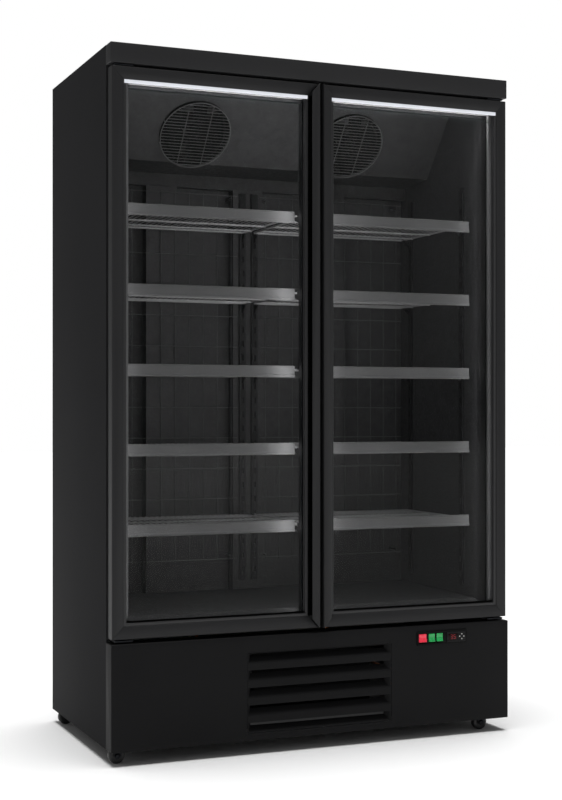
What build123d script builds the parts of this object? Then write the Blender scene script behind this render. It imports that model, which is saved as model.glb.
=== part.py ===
from build123d import *
import os
from math import atan2, cos, radians, sin

# Two-door glass merchandiser: an upright refrigerated cabinet on four swivel castors.
# Origin: centre of the footprint, on the floor. +X to the right seen from the front,
# +Y towards the back, +Z up. Millimetres.

# ---------------------------------------------------------------- driving dimensions
WIDTH = 1260.0
BODY_DEPTH = 662.0            # door face to back panel
PULL_PROUD = 17.0             # door pull in front of the door face
HEIGHT = 1998.0
PANEL_CLEARANCE = 40.0        # floor to the lower edge of the panels

DOOR_THICKNESS = 41.0
GASKET_CLEARANCE = 0.3
BODY_FRONT_DEPTH = 47.0       # door face to the cabinet's front frame

SKIN = 1.2                    # outer sheet metal
HALF_W = WIDTH / 2
FACE_Y = -(BODY_DEPTH + PULL_PROUD) / 2 + PULL_PROUD
BACK_Y = FACE_Y + BODY_DEPTH
FRAME_Y = FACE_Y + BODY_FRONT_DEPTH
INNER_FRONT_Y = FRAME_Y + 25.0
SKIN_X = HALF_W - SKIN
SKIN_BACK_Y = BACK_Y - SKIN

# Insulated box
CELL_HALF_W = 582.5           # inner half width between the side liners
CELL_BACK_Y = FACE_Y + 615.0
CELL_FLOOR_Z = 397.0
CELL_TOP_Z = 1945.0
LINER = 1.0
SILL_Y = FACE_Y + 118.0       # where the floor breaks down towards the front frame
SILL_Z = 385.0
BOX_BOTTOM_Z = 344.0
OPENING_TOP_Z = 1885.0
MULLION_HALF = 36.5

# Doors, measured from the hinge edge (u) and the lower edge
DOOR_GAP = 11.5               # between the two doors
DOOR_EDGE_INSET = 4.0
DOOR_W = HALF_W - DOOR_EDGE_INSET - DOOR_GAP / 2
DOOR_BOTTOM_Z = 350.0
DOOR_TOP_Z = 1933.0
DOOR_X0 = -HALF_W + DOOR_EDGE_INSET
DOOR_X1 = DOOR_X0 + DOOR_W
HINGE_FACE = 33.0             # visible face widths of the four door profiles
LOCK_FACE = 30.75
TOP_FACE = 34.5
BOTTOM_FACE = 36.0
BEAD_WIDTH = 11.0
BEAD_FRONT = 1.6
TOP_BEAD_FRONT = 5.0          # set back behind the lamp
GLASS_FRONT = 12.0
PANE = 4.0
GLASS_UNIT = 20.0
GLASS_LAP = 10.0
LAMP_HEIGHT = 13.0
PIVOT_IN = 14.0               # hinge pin from the door's outer edge
PIVOT_DEPTH = 18.0            # hinge pin behind the door face
PIN_R = 4.0
PIN_CLEARANCE = 0.06
GASKET_IN = 14.0
GASKET_WIDTH = 16.0
HEADER_GAP = 9.0              # door top to the canopy over it
PRESSED_SHEET = 1.5

# Lower compartment
KICK_TOP_Z = 338.0
KICK_PROUD = 7.0
KICK_Y = FACE_Y - KICK_PROUD
GRILLE_X = (-230.0, 230.0)
GRILLE_Z = (61.0, 291.0)
LOUVRES = 5
LOUVRE_PITCH = 50.0
LOUVRE_SLOT = 11.0
LOUVRE_DEPTH = 19.0
BEZEL_X = (314.5, 484.0)
BEZEL_Z = (278.0, 321.0)
BEZEL_EDGE = 3.2              # how far the bezel laps over its cut-out
BEZEL_FACE_Y = KICK_Y - 3.0
DECK_Z = 70.0
DECK_T = 3.0
DECK_TOP = DECK_Z + DECK_T
COND_FAN_Y = FACE_Y + 165.0
COND_FAN_Z = 196.0

# Controls
ROCKERS = {"rocker_red": (320.5, 345.5), "rocker_green_1": (353.5, 374.0), "rocker_green_2": (380.0, 400.5)}
ROCKER_Z = (286.0, 313.0)
ROCKER_PIVOT_Y = KICK_Y + 8.0
ROCKER_TILT = 6.0
THERMOSTAT_X = (414.5, 478.5)
THERMOSTAT_Z = (284.0, 315.0)
BUTTON_R = 2.2
BUTTON_CENTRE = (THERMOSTAT_X[1] - 13.0, 299.5)
BUTTONS = {"thermostat_button_1": (0.0, 7.2), "thermostat_button_2": (-7.2, 0.0),
           "thermostat_button_3": (7.2, 0.0), "thermostat_button_4": (0.0, -7.2)}

# Shelves
SHELF_LEVELS = [656.0, 886.0, 1116.0, 1346.0, 1576.0]   # top edge of the price rails
SHELF_X = (-570.5, -14.5)     # left column, the right one mirrors it
RAIL_Y = FACE_Y + 125.0
RAIL_H = 35.0
RAIL_SHORT = 10.5             # the rail stops short of the shelf at the mullion
SHELF_FRONT_Y = FACE_Y + 133.0
SHELF_BACK_Y = FACE_Y + 562.0
SHELF_DROP = 9.0              # wire top below the rail's top edge
WIRE = 3.2
BAR = 6.0
SHELF_WIRES = 30
SHELF_BARS = (3.0, 110.0, 250.0, 370.0)      # cross bars behind the shelf's front edge
STANDARD_T = 8.0
STANDARD_W = 22.0
STANDARD_Z = (430.0, 1690.0)
STANDARD_PITCH = 46.0
STANDARD_SLOT = (6.0, 18.0)
SIDE_STANDARD_DEPTHS = (190.0, 537.0)
CENTRE_STANDARD_X = 21.0

# Rear wall
DUCT_Y = FACE_Y + 577.0
DUCT_X = (-295.5, 0.0, 295.5)
SCREEN_Y = FACE_Y + 569.0
SCREEN_X = (40.0, 560.0)
SCREEN_Z = (501.0, 1680.0)
SCREEN_LEVELS = 13
SCREEN_UPRIGHTS = 11
SCREEN_WIRE = 2.6

# Evaporator cover outline, (depth behind the door face, height)
COVER = [(268.8, 1945.0), (427.0, 1752.0), (588.0, 1743.0), (588.0, 1702.0)]
SLOPE = atan2(COVER[0][1] - COVER[1][1], COVER[1][0] - COVER[0][0])
FAN_X = 260.5
FAN_Y = FACE_Y + 360.6
FAN_Z = 1833.0
GUARD_R = 113.0
GUARD_WIRE = 2.4
GUARD_ROWS = 21
GUARD_PITCH = 10.2
GUARD_LIFT = 14.2             # guard in front of the cover
FAN_HOLE_R = 98.0
BLADE_R = 90.0
FAN_SINK = 14.0               # fan behind the cover

# Castors
WHEEL_R = 23.0
WHEEL_W = 20.0
TRAIL = 22.0
PIVOT_X = HALF_W - 51.0
PIVOT_FRONT_Y = FACE_Y + 46.0
PIVOT_REAR_Y = FACE_Y + 610.0
AXLE_R = 3.0
KINGPIN_R = 4.0
BRAKE_PIVOT_X = 10.0          # brake pin behind the kingpin
BRAKE_PIVOT_Z = 54.5
BRAKE_PIN_R = 2.0
CASTORS = {"front_left": (-PIVOT_X, PIVOT_FRONT_Y), "front_right": (PIVOT_X, PIVOT_FRONT_Y),
           "rear_left": (-PIVOT_X, PIVOT_REAR_Y), "rear_right": (PIVOT_X, PIVOT_REAR_Y)}

os.makedirs("parts", exist_ok=True)


# ---------------------------------------------------------------- helpers
def block(x, y, z):
    """Box between two opposite corners, each axis given as (low, high)."""
    size = [high - low for low, high in (x, y, z)]
    middle = [(high + low) / 2 for low, high in (x, y, z)]
    return Pos(*middle) * Box(*size)


def prism_x(outline, x):
    """Solid with a constant outline of (y, z) points between two values of x."""
    wire = Polyline([(x[0], y, z) for y, z in outline], close=True)
    return extrude(make_face(wire), amount=x[1] - x[0], dir=(1, 0, 0))


def prism_y(outline, y):
    """Solid with a constant outline of (x, z) points between two values of y."""
    wire = Polyline([(x, y[0], z) for x, z in outline], close=True)
    return extrude(make_face(wire), amount=y[1] - y[0], dir=(0, 1, 0))


def rod_x(radius, y, z, x):
    """Round bar along X."""
    return Pos((x[0] + x[1]) / 2, y, z) * Rot(0, 90, 0) * Cylinder(radius, x[1] - x[0])


def rod_y(radius, x, z, y):
    """Round bar along Y."""
    return Pos(x, (y[0] + y[1]) / 2, z) * Rot(90, 0, 0) * Cylinder(radius, y[1] - y[0])


def rod_z(radius, x, y, z):
    """Round bar along Z."""
    return Pos(x, y, (z[0] + z[1]) / 2) * Cylinder(radius, z[1] - z[0])


def mirrored(pieces):
    """The same pieces on the other side of the cabinet."""
    return [mirror(piece, about=Plane.YZ) for piece in pieces]


def save(name, *pieces):
    """Write one node; every piece in it stays a separate solid."""
    solids = [solid for piece in pieces for solid in piece.solids()]
    export_step(Compound(solids), "parts/" + name + ".step")


# ---------------------------------------------------------------- cabinet shell
def side_panel(side):
    """Outer skin of one side, with its rear edge folded in."""
    z = (PANEL_CLEARANCE, HEIGHT)
    panel = block((-HALF_W, -SKIN_X), (FRAME_Y, BACK_Y), z)
    fold = block((-HALF_W, -HALF_W + 14.0), (BACK_Y - SKIN, BACK_Y), z)
    piece = panel + fold
    return piece if side < 0 else mirror(piece, about=Plane.YZ)


def inner_liner():
    """Food-side lining: floor with its sill, walls, back and ceiling in one sheet."""
    t = LINER
    outer = [(INNER_FRONT_Y, SILL_Z - t), (SILL_Y, CELL_FLOOR_Z - t),
             (CELL_BACK_Y + t, CELL_FLOOR_Z - t), (CELL_BACK_Y + t, CELL_TOP_Z + t),
             (INNER_FRONT_Y, CELL_TOP_Z + t)]
    inner = [(INNER_FRONT_Y, SILL_Z), (SILL_Y, CELL_FLOOR_Z), (CELL_BACK_Y, CELL_FLOOR_Z),
             (CELL_BACK_Y, CELL_TOP_Z), (INNER_FRONT_Y, CELL_TOP_Z)]
    shell = prism_x(outer, (-CELL_HALF_W - t, CELL_HALF_W + t))
    return shell - prism_x(inner, (-CELL_HALF_W, CELL_HALF_W))


def insulation_foam():
    """Five foam slabs between the outer skin and the liner."""
    t = LINER
    y = (INNER_FRONT_Y, SKIN_BACK_Y)
    walls_z = (CELL_FLOOR_Z - t, CELL_TOP_Z + t)
    floor = prism_x([(y[0], BOX_BOTTOM_Z), (y[1], BOX_BOTTOM_Z), (y[1], CELL_FLOOR_Z - t),
                     (SILL_Y, CELL_FLOOR_Z - t), (y[0], SILL_Z - t)], (-SKIN_X, SKIN_X))
    roof = block((-SKIN_X, SKIN_X), y, (CELL_TOP_Z + t, HEIGHT - SKIN))
    left = block((-SKIN_X, -CELL_HALF_W - t), y, walls_z)
    back = block((-CELL_HALF_W - t, CELL_HALF_W + t), (CELL_BACK_Y + t, y[1]), walls_z)
    return [floor, roof, back, left] + mirrored([left])


def front_frame():
    """Breaker strips round the opening and the centre mullion that the doors close on."""
    y = (FRAME_Y, INNER_FRONT_Y)
    z = (BOX_BOTTOM_Z, HEIGHT - SKIN)
    left = block((-SKIN_X, -CELL_HALF_W), y, z)
    top = block((-CELL_HALF_W, CELL_HALF_W), y, (OPENING_TOP_Z, z[1]))
    bottom = block((-CELL_HALF_W, CELL_HALF_W), y, (z[0], SILL_Z))
    mullion = block((-MULLION_HALF, MULLION_HALF), y, (SILL_Z, OPENING_TOP_Z))
    return [left, top, bottom, mullion] + mirrored([left])


def header_fascia():
    """Canopy over the doors: a folded pan, open at the back."""
    z = (DOOR_TOP_Z + HEADER_GAP, HEIGHT)
    t = PRESSED_SHEET
    pan = block((-HALF_W, HALF_W), (FACE_Y, FRAME_Y), z)
    hollow = block((-HALF_W + t, HALF_W - t), (FACE_Y + t, FRAME_Y), (z[0] + t, z[1] - t))
    return pan - hollow


def kick_panel():
    """Lower front cover with cut-outs for the louvred grille and the control bezel."""
    t = PRESSED_SHEET
    z = (PANEL_CLEARANCE, KICK_TOP_Z)
    pan = block((-HALF_W, HALF_W), (KICK_Y, FRAME_Y), z)
    pan -= block((-HALF_W + t, HALF_W - t), (KICK_Y + t, FRAME_Y), (z[0] - t, z[1] - t))
    lip = 4.0
    grille_hole = block((GRILLE_X[0], GRILLE_X[1]), (KICK_Y, KICK_Y + t), GRILLE_Z)
    bezel_hole = block((BEZEL_X[0] + BEZEL_EDGE, BEZEL_X[1] - BEZEL_EDGE), (KICK_Y, KICK_Y + t),
                       (BEZEL_Z[0] + BEZEL_EDGE, BEZEL_Z[1] - BEZEL_EDGE))
    lower_lip = block((-HALF_W + t, HALF_W - t), (KICK_Y + t, KICK_Y + t + lip), (z[0], z[0] + t))
    return pan + lower_lip - grille_hole - bezel_hole


def louvre_grille():
    """Pressed grille: each louvre leans out and down from the slot above it."""
    t = PRESSED_SHEET
    cheek = 3.0
    front = KICK_Y
    rear = front + LOUVRE_DEPTH
    left_cheek = block((GRILLE_X[0], GRILLE_X[0] + cheek), (front, rear), GRILLE_Z)
    right_cheek = block((GRILLE_X[1] - cheek, GRILLE_X[1]), (front, rear), GRILLE_Z)
    grille = left_cheek + right_cheek
    for index in range(LOUVRES):
        top = GRILLE_Z[1] - index * LOUVRE_PITCH
        head = top - LOUVRE_SLOT
        foot = max(top - LOUVRE_PITCH, GRILLE_Z[0])
        ridge = max(head - LOUVRE_DEPTH, foot + t)
        outline = [(rear, head), (front, ridge), (front, foot), (front + t, foot),
                   (front + t, ridge - 0.6), (rear, head - 2.1)]
        grille += prism_x(outline, GRILLE_X)
    return grille


def rear_vent_cover():
    """Service cover over the condensing unit, with rows of air slots."""
    t = SKIN
    y = (SKIN_BACK_Y, BACK_Y)
    cover = block((-HALF_W + 14.5, HALF_W - 14.5), y, (PANEL_CLEARANCE + 5, BOX_BOTTOM_Z - 2))
    for row in range(6):
        z = 120.0 + row * 32.0
        for x in (-430.0, -150.0, 150.0, 430.0):
            cover -= block((x - 95, x + 95), y, (z, z + 9))
    return cover


# ---------------------------------------------------------------- doors
def door_profile_ring():
    """The four aluminium profiles before they are mitred apart."""
    y = (FACE_Y, FACE_Y + DOOR_THICKNESS)
    outer_z = (DOOR_BOTTOM_Z, DOOR_TOP_Z)
    clear_x = (DOOR_X0 + HINGE_FACE, DOOR_X1 - LOCK_FACE)
    clear_z = (DOOR_BOTTOM_Z + BOTTOM_FACE, DOOR_TOP_Z - TOP_FACE)
    ring = block((DOOR_X0, DOOR_X1), y, outer_z) - block(clear_x, y, clear_z)
    pocket_y = (FACE_Y + GLASS_FRONT, FACE_Y + GLASS_FRONT + GLASS_UNIT)
    ring -= block((clear_x[0] - GLASS_LAP, clear_x[1] + GLASS_LAP), pocket_y,
                  (clear_z[0] - GLASS_LAP, clear_z[1] + GLASS_LAP))
    return ring


def mitre_wedges(y):
    """Top, bottom, hinge and lock wedges that cut a door ring at its corners."""
    x0, x1, z0, z1 = DOOR_X0, DOOR_X1, DOOR_BOTTOM_Z, DOOR_TOP_Z
    reach = 60.0
    left = reach * HINGE_FACE / TOP_FACE
    left_low = reach * HINGE_FACE / BOTTOM_FACE
    right = reach * LOCK_FACE / TOP_FACE
    right_low = reach * LOCK_FACE / BOTTOM_FACE
    top = [(x0, z1), (x1, z1), (x1 - right, z1 - reach), (x0 + left, z1 - reach)]
    bottom = [(x0, z0), (x1, z0), (x1 - right_low, z0 + reach), (x0 + left_low, z0 + reach)]
    hinge = [(x0, z0), (x0 + left_low, z0 + reach), (x0 + left, z1 - reach), (x0, z1)]
    lock = [(x1, z0), (x1, z1), (x1 - right, z1 - reach), (x1 - right_low, z0 + reach)]
    return [prism_y(outline, y) for outline in (top, bottom, hinge, lock)]


def door_frame():
    """Mitred door profiles, the lock stile with its full-height pull."""
    ring = door_profile_ring()
    depth = (FACE_Y - PULL_PROUD - 1, FACE_Y + DOOR_THICKNESS + 1)
    top, bottom, hinge, lock = mitre_wedges(depth)
    z = (DOOR_BOTTOM_Z, DOOR_TOP_Z)
    web = block((DOOR_X1 - 4.0, DOOR_X1), (FACE_Y - PULL_PROUD, FACE_Y + 1), z)
    flange = block((DOOR_X1 - 25.0, DOOR_X1), (FACE_Y - PULL_PROUD, FACE_Y - PULL_PROUD + 3.5), z)
    channel = block((DOOR_X1 - LOCK_FACE, DOOR_X1 - 4.0), (FACE_Y - 1, FACE_Y + 10.0), z)
    lock_stile = (ring + web + flange - channel) & lock
    hinge_stile = ring & hinge
    pin_x = DOOR_X0 + PIVOT_IN
    pin_y = FACE_Y + PIVOT_DEPTH
    top_bore = rod_z(PIN_R + PIN_CLEARANCE, pin_x, pin_y, (DOOR_TOP_Z - 26, DOOR_TOP_Z + 1))
    low_bore = rod_z(PIN_R + PIN_CLEARANCE, pin_x, pin_y, (DOOR_BOTTOM_Z - 1, DOOR_BOTTOM_Z + 26))
    hinge_stile -= block((DOOR_X0 + 3, DOOR_X0 + HINGE_FACE - GLASS_LAP - 3), (FACE_Y + 3, FACE_Y + 38),
                         (DOOR_BOTTOM_Z + 60, DOOR_TOP_Z - 60))
    profiles = [ring & top, ring & bottom, hinge_stile, lock_stile]
    return [profile - top_bore - low_bore for profile in profiles]


def glazing_beads():
    """Four beads that hold the glass; the top one sits back to carry the lamp."""
    y = (FACE_Y + BEAD_FRONT, FACE_Y + GLASS_FRONT)
    top_y = (FACE_Y + TOP_BEAD_FRONT, FACE_Y + GLASS_FRONT)
    clear_x = (DOOR_X0 + HINGE_FACE, DOOR_X1 - LOCK_FACE)
    clear_z = (DOOR_BOTTOM_Z + BOTTOM_FACE, DOOR_TOP_Z - TOP_FACE)
    b = BEAD_WIDTH
    upright_z = (clear_z[0] + b, clear_z[1] - LAMP_HEIGHT)
    return [block(clear_x, top_y, (clear_z[1] - b, clear_z[1])),
            block(clear_x, y, (clear_z[0], clear_z[0] + b)),
            block((clear_x[0], clear_x[0] + b), y, upright_z),
            block((clear_x[1] - b, clear_x[1]), y, upright_z)]


def door_glass():
    """Double-glazed unit: two panes and the spacer frame between them."""
    x = (DOOR_X0 + HINGE_FACE - GLASS_LAP, DOOR_X1 - LOCK_FACE + GLASS_LAP)
    z = (DOOR_BOTTOM_Z + BOTTOM_FACE - GLASS_LAP, DOOR_TOP_Z - TOP_FACE + GLASS_LAP)
    y = FACE_Y + GLASS_FRONT
    front_pane = block(x, (y, y + PANE), z)
    rear_pane = block(x, (y + GLASS_UNIT - PANE, y + GLASS_UNIT), z)
    return [front_pane, rear_pane]


def glazing_spacer():
    """Spacer frame that keeps the two panes apart."""
    x = (DOOR_X0 + HINGE_FACE - GLASS_LAP, DOOR_X1 - LOCK_FACE + GLASS_LAP)
    z = (DOOR_BOTTOM_Z + BOTTOM_FACE - GLASS_LAP, DOOR_TOP_Z - TOP_FACE + GLASS_LAP)
    y = (FACE_Y + GLASS_FRONT + PANE, FACE_Y + GLASS_FRONT + GLASS_UNIT - PANE)
    w = GLASS_LAP + BEAD_WIDTH - 2.0
    inner = block((x[0] + w, x[1] - w), y, (z[0] + w, z[1] - w))
    return block(x, y, z) - inner


def door_gasket():
    """Magnetic seal on the back of the door, just clear of the front frame when shut."""
    y = (FACE_Y + DOOR_THICKNESS, FRAME_Y - GASKET_CLEARANCE)
    x = (DOOR_X0 + GASKET_IN, DOOR_X1 - GASKET_IN)
    z = (DOOR_BOTTOM_Z + GASKET_IN, DOOR_TOP_Z - GASKET_IN)
    w = GASKET_WIDTH
    return [block(x, y, (z[1] - w, z[1])), block(x, y, (z[0], z[0] + w)),
            block((x[0], x[0] + w), y, (z[0] + w, z[1] - w)),
            block((x[1] - w, x[1]), y, (z[0] + w, z[1] - w))]


def door_lamp():
    """Light bar along the top of the glass, seated on the top bead."""
    x = (DOOR_X0 + HINGE_FACE, DOOR_X1 - LOCK_FACE)
    top = DOOR_TOP_Z - TOP_FACE
    bar = block(x, (FACE_Y + 0.6, FACE_Y + TOP_BEAD_FRONT), (top - LAMP_HEIGHT, top))
    return fillet(bar.edges().filter_by(Axis.X).group_by(Axis.Y)[0], 1.5)


def hinge_bracket(top):
    """Plate on the front frame with the pin that the door turns on."""
    pin_x = DOOR_X0 + PIVOT_IN
    pin_y = FACE_Y + PIVOT_DEPTH
    x = (DOOR_X0 + 9.0, DOOR_X0 + 62.0)
    if top:
        z = (DOOR_TOP_Z + 3.0, DOOR_TOP_Z + 7.5)
        pin_z = (DOOR_TOP_Z - 22.0, z[1])
    else:
        z = (DOOR_BOTTOM_Z - 8.0, DOOR_BOTTOM_Z - 3.0)
        pin_z = (z[0], DOOR_BOTTOM_Z + 22.0)
    plate = block(x, (FACE_Y + 4.0, FRAME_Y), z)
    return plate + rod_z(PIN_R, pin_x, pin_y, pin_z)


# ---------------------------------------------------------------- food compartment
def cover_point(index):
    """One corner of the evaporator cover's outline as (y, z)."""
    return (FACE_Y + COVER[index][0], COVER[index][1])


def on_slope(x, offset=0.0):
    """Placement on the cover's sloped face at a fan's centre, its Z pointing out of the face."""
    normal = (0, -sin(SLOPE), -cos(SLOPE))
    origin = (x, FAN_Y + normal[1] * offset, FAN_Z + normal[2] * offset)
    return Location(Plane(origin=origin, x_dir=(1, 0, 0), z_dir=normal))


def evaporator_cover():
    """Folded cover under the ceiling with two round fan openings."""
    t = PRESSED_SHEET
    nose, knee, heel, toe = [cover_point(i) for i in range(4)]
    lift = t / sin(SLOPE)
    outer = [nose, knee, heel, toe, (CELL_BACK_Y, toe[1]), (CELL_BACK_Y, toe[1] + t),
             (toe[0] + t, toe[1] + t), (heel[0] + t, heel[1] + t), (knee[0] + 0.4, knee[1] + t),
             (nose[0] + lift, CELL_TOP_Z)]
    cover = prism_x(outer, (-CELL_HALF_W, CELL_HALF_W))
    for x in (-FAN_X, FAN_X):
        cover -= on_slope(x) * Cylinder(FAN_HOLE_R, 20.0)
    return cover


def fan_guard(x):
    """Wire guard: two rings, level wires and the legs that hold it off the cover."""
    wire = GUARD_WIRE
    guard = Cylinder(GUARD_R, wire * 1.6) - Cylinder(GUARD_R - 3.5, wire * 2)
    for index in range(GUARD_ROWS):
        offset = (index - (GUARD_ROWS - 1) / 2) * GUARD_PITCH
        half = (GUARD_R ** 2 - offset ** 2) ** 0.5 - 1.0
        guard += Pos(0, offset, 0) * Box(2 * half, wire, wire)
    for offset in (-38.0, 38.0):
        half = (GUARD_R ** 2 - offset ** 2) ** 0.5 - 1.0
        guard += Pos(offset, 0, -0.6) * Box(wire, 2 * half, wire)
    for angle in (20, 160, 200, 340):
        a = radians(angle)
        foot = Pos((GUARD_R - 2) * cos(a), (GUARD_R - 2) * sin(a), -GUARD_LIFT / 2)
        guard += foot * Cylinder(1.8, GUARD_LIFT - 0.2)
    return on_slope(x, GUARD_LIFT) * guard


def blade_set(radius, hub_r, count, thickness, pitch, height):
    """Axial fan: a hub with twisted paddle blades, turning about Z."""
    fan = Cylinder(hub_r, height) - Pos(0, 0, -height / 2) * Cylinder(2.56, height)
    sector = [(hub_r - 2, -hub_r * 0.55), (radius * 0.72, -radius * 0.30),
              (radius * 0.95, -radius * 0.16), (radius * 0.985, radius * 0.16),
              (radius * 0.7, radius * 0.33), (hub_r - 2, hub_r * 0.45)]
    blade = extrude(make_face(Polyline([(x, y, 0) for x, y in sector], close=True)), amount=thickness)
    for index in range(count):
        fan += Rot(0, 0, index * 360 / count) * Rot(pitch, 0, 0) * blade
    return fan & Cylinder(radius, height * 4)


def fan_motor(reach, mount):
    """Shaded-pole motor, shaft and three-legged bracket; the legs end at z = mount."""
    motor = Pos(0, 0, -29) * Cylinder(27.0, 30.0) + Pos(0, 0, -8.5) * Cylinder(2.5, 16.0)
    motor += Pos(0, 0, -45.5) * Cylinder(24.0, 3.0)
    length = mount + 47.0
    for angle in (30, 150, 270):
        motor += Rot(0, 0, angle) * Pos(reach / 2, 0, -45.5) * Box(reach, 12.0, 3.0)
        motor += Rot(0, 0, angle) * Pos(reach - 1.5, 0, mount - length / 2) * Box(3.0, 12.0, length)
    return motor


def evaporator_coil():
    """Finned coil behind the fans with its header tubes."""
    y = (FACE_Y + 486.0, FACE_Y + 576.0)
    coil = block((-480.0, 480.0), y, (1765.0, 1925.0))
    for row in range(4):
        z = 1785.0 + row * 40.0
        for depth in (22.0, 68.0):
            coil += rod_x(5.0, y[0] + depth, z, (-496.0, 496.0))
    return coil


def rear_air_ducts():
    """Three raised channels on the back wall that bring the cold air down."""
    y = (DUCT_Y, CELL_BACK_Y)
    ducts = []
    for x in DUCT_X:
        shell = block((x - 52, x + 52), y, (CELL_FLOOR_Z + 3, 1700.0))
        ducts.append(shell - block((x - 50.5, x + 50.5), (y[0] + 1.5, y[1]), (CELL_FLOOR_Z + 1, 1698.5)))
    return ducts


def rear_wire_guard():
    """Wire screen that keeps goods off the back wall, welded into one panel for each column."""
    y = SCREEN_Y
    half = SCREEN_WIRE / 2
    low, high = SCREEN_Z
    x0, x1 = SCREEN_X
    inset = 20.0
    bars = []
    for index in range(SCREEN_LEVELS):
        z = low + index * (high - low) / (SCREEN_LEVELS - 1)
        bars.append(block((x0, x1), (y - half, y + half), (z - half, z + half)))
    for index in range(SCREEN_UPRIGHTS):
        x = x0 + inset + index * (x1 - x0 - 2 * inset) / (SCREEN_UPRIGHTS - 1)
        bars.append(block((x - half, x + half), (y, y + SCREEN_WIRE), (low - 6, high + 6)))
    for x in (x0 + inset, x1 - inset):
        for z in (low + 9.0, high - 9.0):
            bars.append(block((x - 3, x + 3), (y, CELL_BACK_Y), (z - 3, z + 3)))
    screen = bars[0].fuse(*bars[1:])
    return [screen] + mirrored([screen])


def slotted(upright, x, y):
    """An upright with its row of hook slots, each cut over the given x and y ranges."""
    low, high = STANDARD_Z
    for index in range(int((high - low - 30) / STANDARD_PITCH)):
        z = low + 25 + index * STANDARD_PITCH
        upright -= block(x, y, (z, z + STANDARD_SLOT[1]))
    return upright


def shelf_standards():
    """Slotted uprights: two on each side wall, two on the centre duct, two behind the mullion."""
    half = STANDARD_W / 2
    slot = STANDARD_SLOT[0] / 2
    wall = -CELL_HALF_W
    uprights = []
    for depth in SIDE_STANDARD_DEPTHS:
        y = FACE_Y + depth
        bar = block((wall, wall + STANDARD_T), (y - half, y + half), STANDARD_Z)
        uprights.append(slotted(bar, (wall + 2, wall + STANDARD_T), (y - slot, y + slot)))
    x = -CENTRE_STANDARD_X
    for y in ((DUCT_Y - STANDARD_T, DUCT_Y), (INNER_FRONT_Y, INNER_FRONT_Y + STANDARD_T)):
        bar = block((x - half, x + half), y, STANDARD_Z)
        uprights.append(slotted(bar, (x - slot, x + slot), y))
    return uprights + mirrored(uprights)


def clip_at(x, y, z, reach):
    """Shelf clip: a hooked plate under the corner of a shelf, reaching along (dx, dy)."""
    dx, dy = reach
    if dx:
        tongue = block(sorted((x, x + dx)), (y - 7, y + 7), (z - 4, z))
        gusset = prism_y([(x, z - 4), (x + dx, z - 4), (x, z - 26)], (y - 2, y + 2))
    else:
        tongue = block((x - 3, x + 3), sorted((y, y + dy)), (z - 4, z))
        gusset = prism_x([(y, z - 4), (y + dy, z - 4), (y, z - 26)], (x - 2, x + 2))
    return tongue + gusset


def shelf_clips():
    """Four clips under every shelf."""
    clips = []
    for level in SHELF_LEVELS:
        z = level - SHELF_DROP - WIRE - BAR + 1.0
        wall_x = -CELL_HALF_W + STANDARD_T
        clips.append(clip_at(wall_x, FACE_Y + SIDE_STANDARD_DEPTHS[0], z, (26.0, 0)))
        clips.append(clip_at(wall_x, FACE_Y + SIDE_STANDARD_DEPTHS[1], z, (26.0, 0)))
        clips.append(clip_at(-CENTRE_STANDARD_X, DUCT_Y - STANDARD_T, z, (0, -24.0)))
        clips.append(clip_at(-CENTRE_STANDARD_X, INNER_FRONT_Y + STANDARD_T, z, (0, 72.0)))
    return clips + mirrored(clips)


def wire_shelf(level):
    """One welded wire shelf of the left column."""
    x = SHELF_X
    y = (SHELF_FRONT_Y, SHELF_BACK_Y)
    top = level - SHELF_DROP
    under = (top - WIRE - BAR + 1.0, top - WIRE + 1.0)
    bars = [block((x[0], x[0] + BAR), y, (under[0], top)), block((x[1] - BAR, x[1]), y, (under[0], top))]
    for depth in (*SHELF_BARS, y[1] - y[0] - BAR / 2):
        bars.append(block(x, (y[0] + depth - BAR / 2, y[0] + depth + BAR / 2), under))
    for index in range(1, SHELF_WIRES + 1):
        wire_x = x[0] + index * (x[1] - x[0]) / (SHELF_WIRES + 1)
        bars.append(block((wire_x - WIRE / 2, wire_x + WIRE / 2), y, (top - WIRE, top)))
    return bars[0].fuse(*bars[1:])


def price_rail(level):
    """Price-label rail clipped on the front of a left-column shelf."""
    y0 = RAIL_Y
    y1 = SHELF_FRONT_Y
    top = level
    outline = [(y0 + 3.2, top), (y0, top - RAIL_H + 6), (y0 + 1.5, top - RAIL_H),
               (y0 + 4.5, top - RAIL_H), (y0 + 4.5, top - RAIL_H + 5), (y1, top - 14), (y1, top - 3),
               (y0 + 5.2, top)]
    return prism_x(outline, (SHELF_X[0], SHELF_X[1] - RAIL_SHORT))


# ---------------------------------------------------------------- condensing unit
def base_chassis():
    """Folded deck that carries the condensing unit and the castors."""
    x = (-HALF_W + 6.0, HALF_W - 6.0)
    y = (FACE_Y + 14.0, BACK_Y - 6.0)
    z = (DECK_Z, DECK_Z + 34.0)
    deck = block(x, y, z) - block((x[0] + DECK_T, x[1] - DECK_T), (y[0] + DECK_T, y[1] - DECK_T),
                                  (DECK_TOP, z[1]))
    for px in (-PIVOT_X, PIVOT_X):
        for py in (PIVOT_FRONT_Y, PIVOT_REAR_Y):
            deck -= rod_z(7.0, px, py, (DECK_Z - 1, DECK_Z + DECK_T + 1))
    return deck


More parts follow.
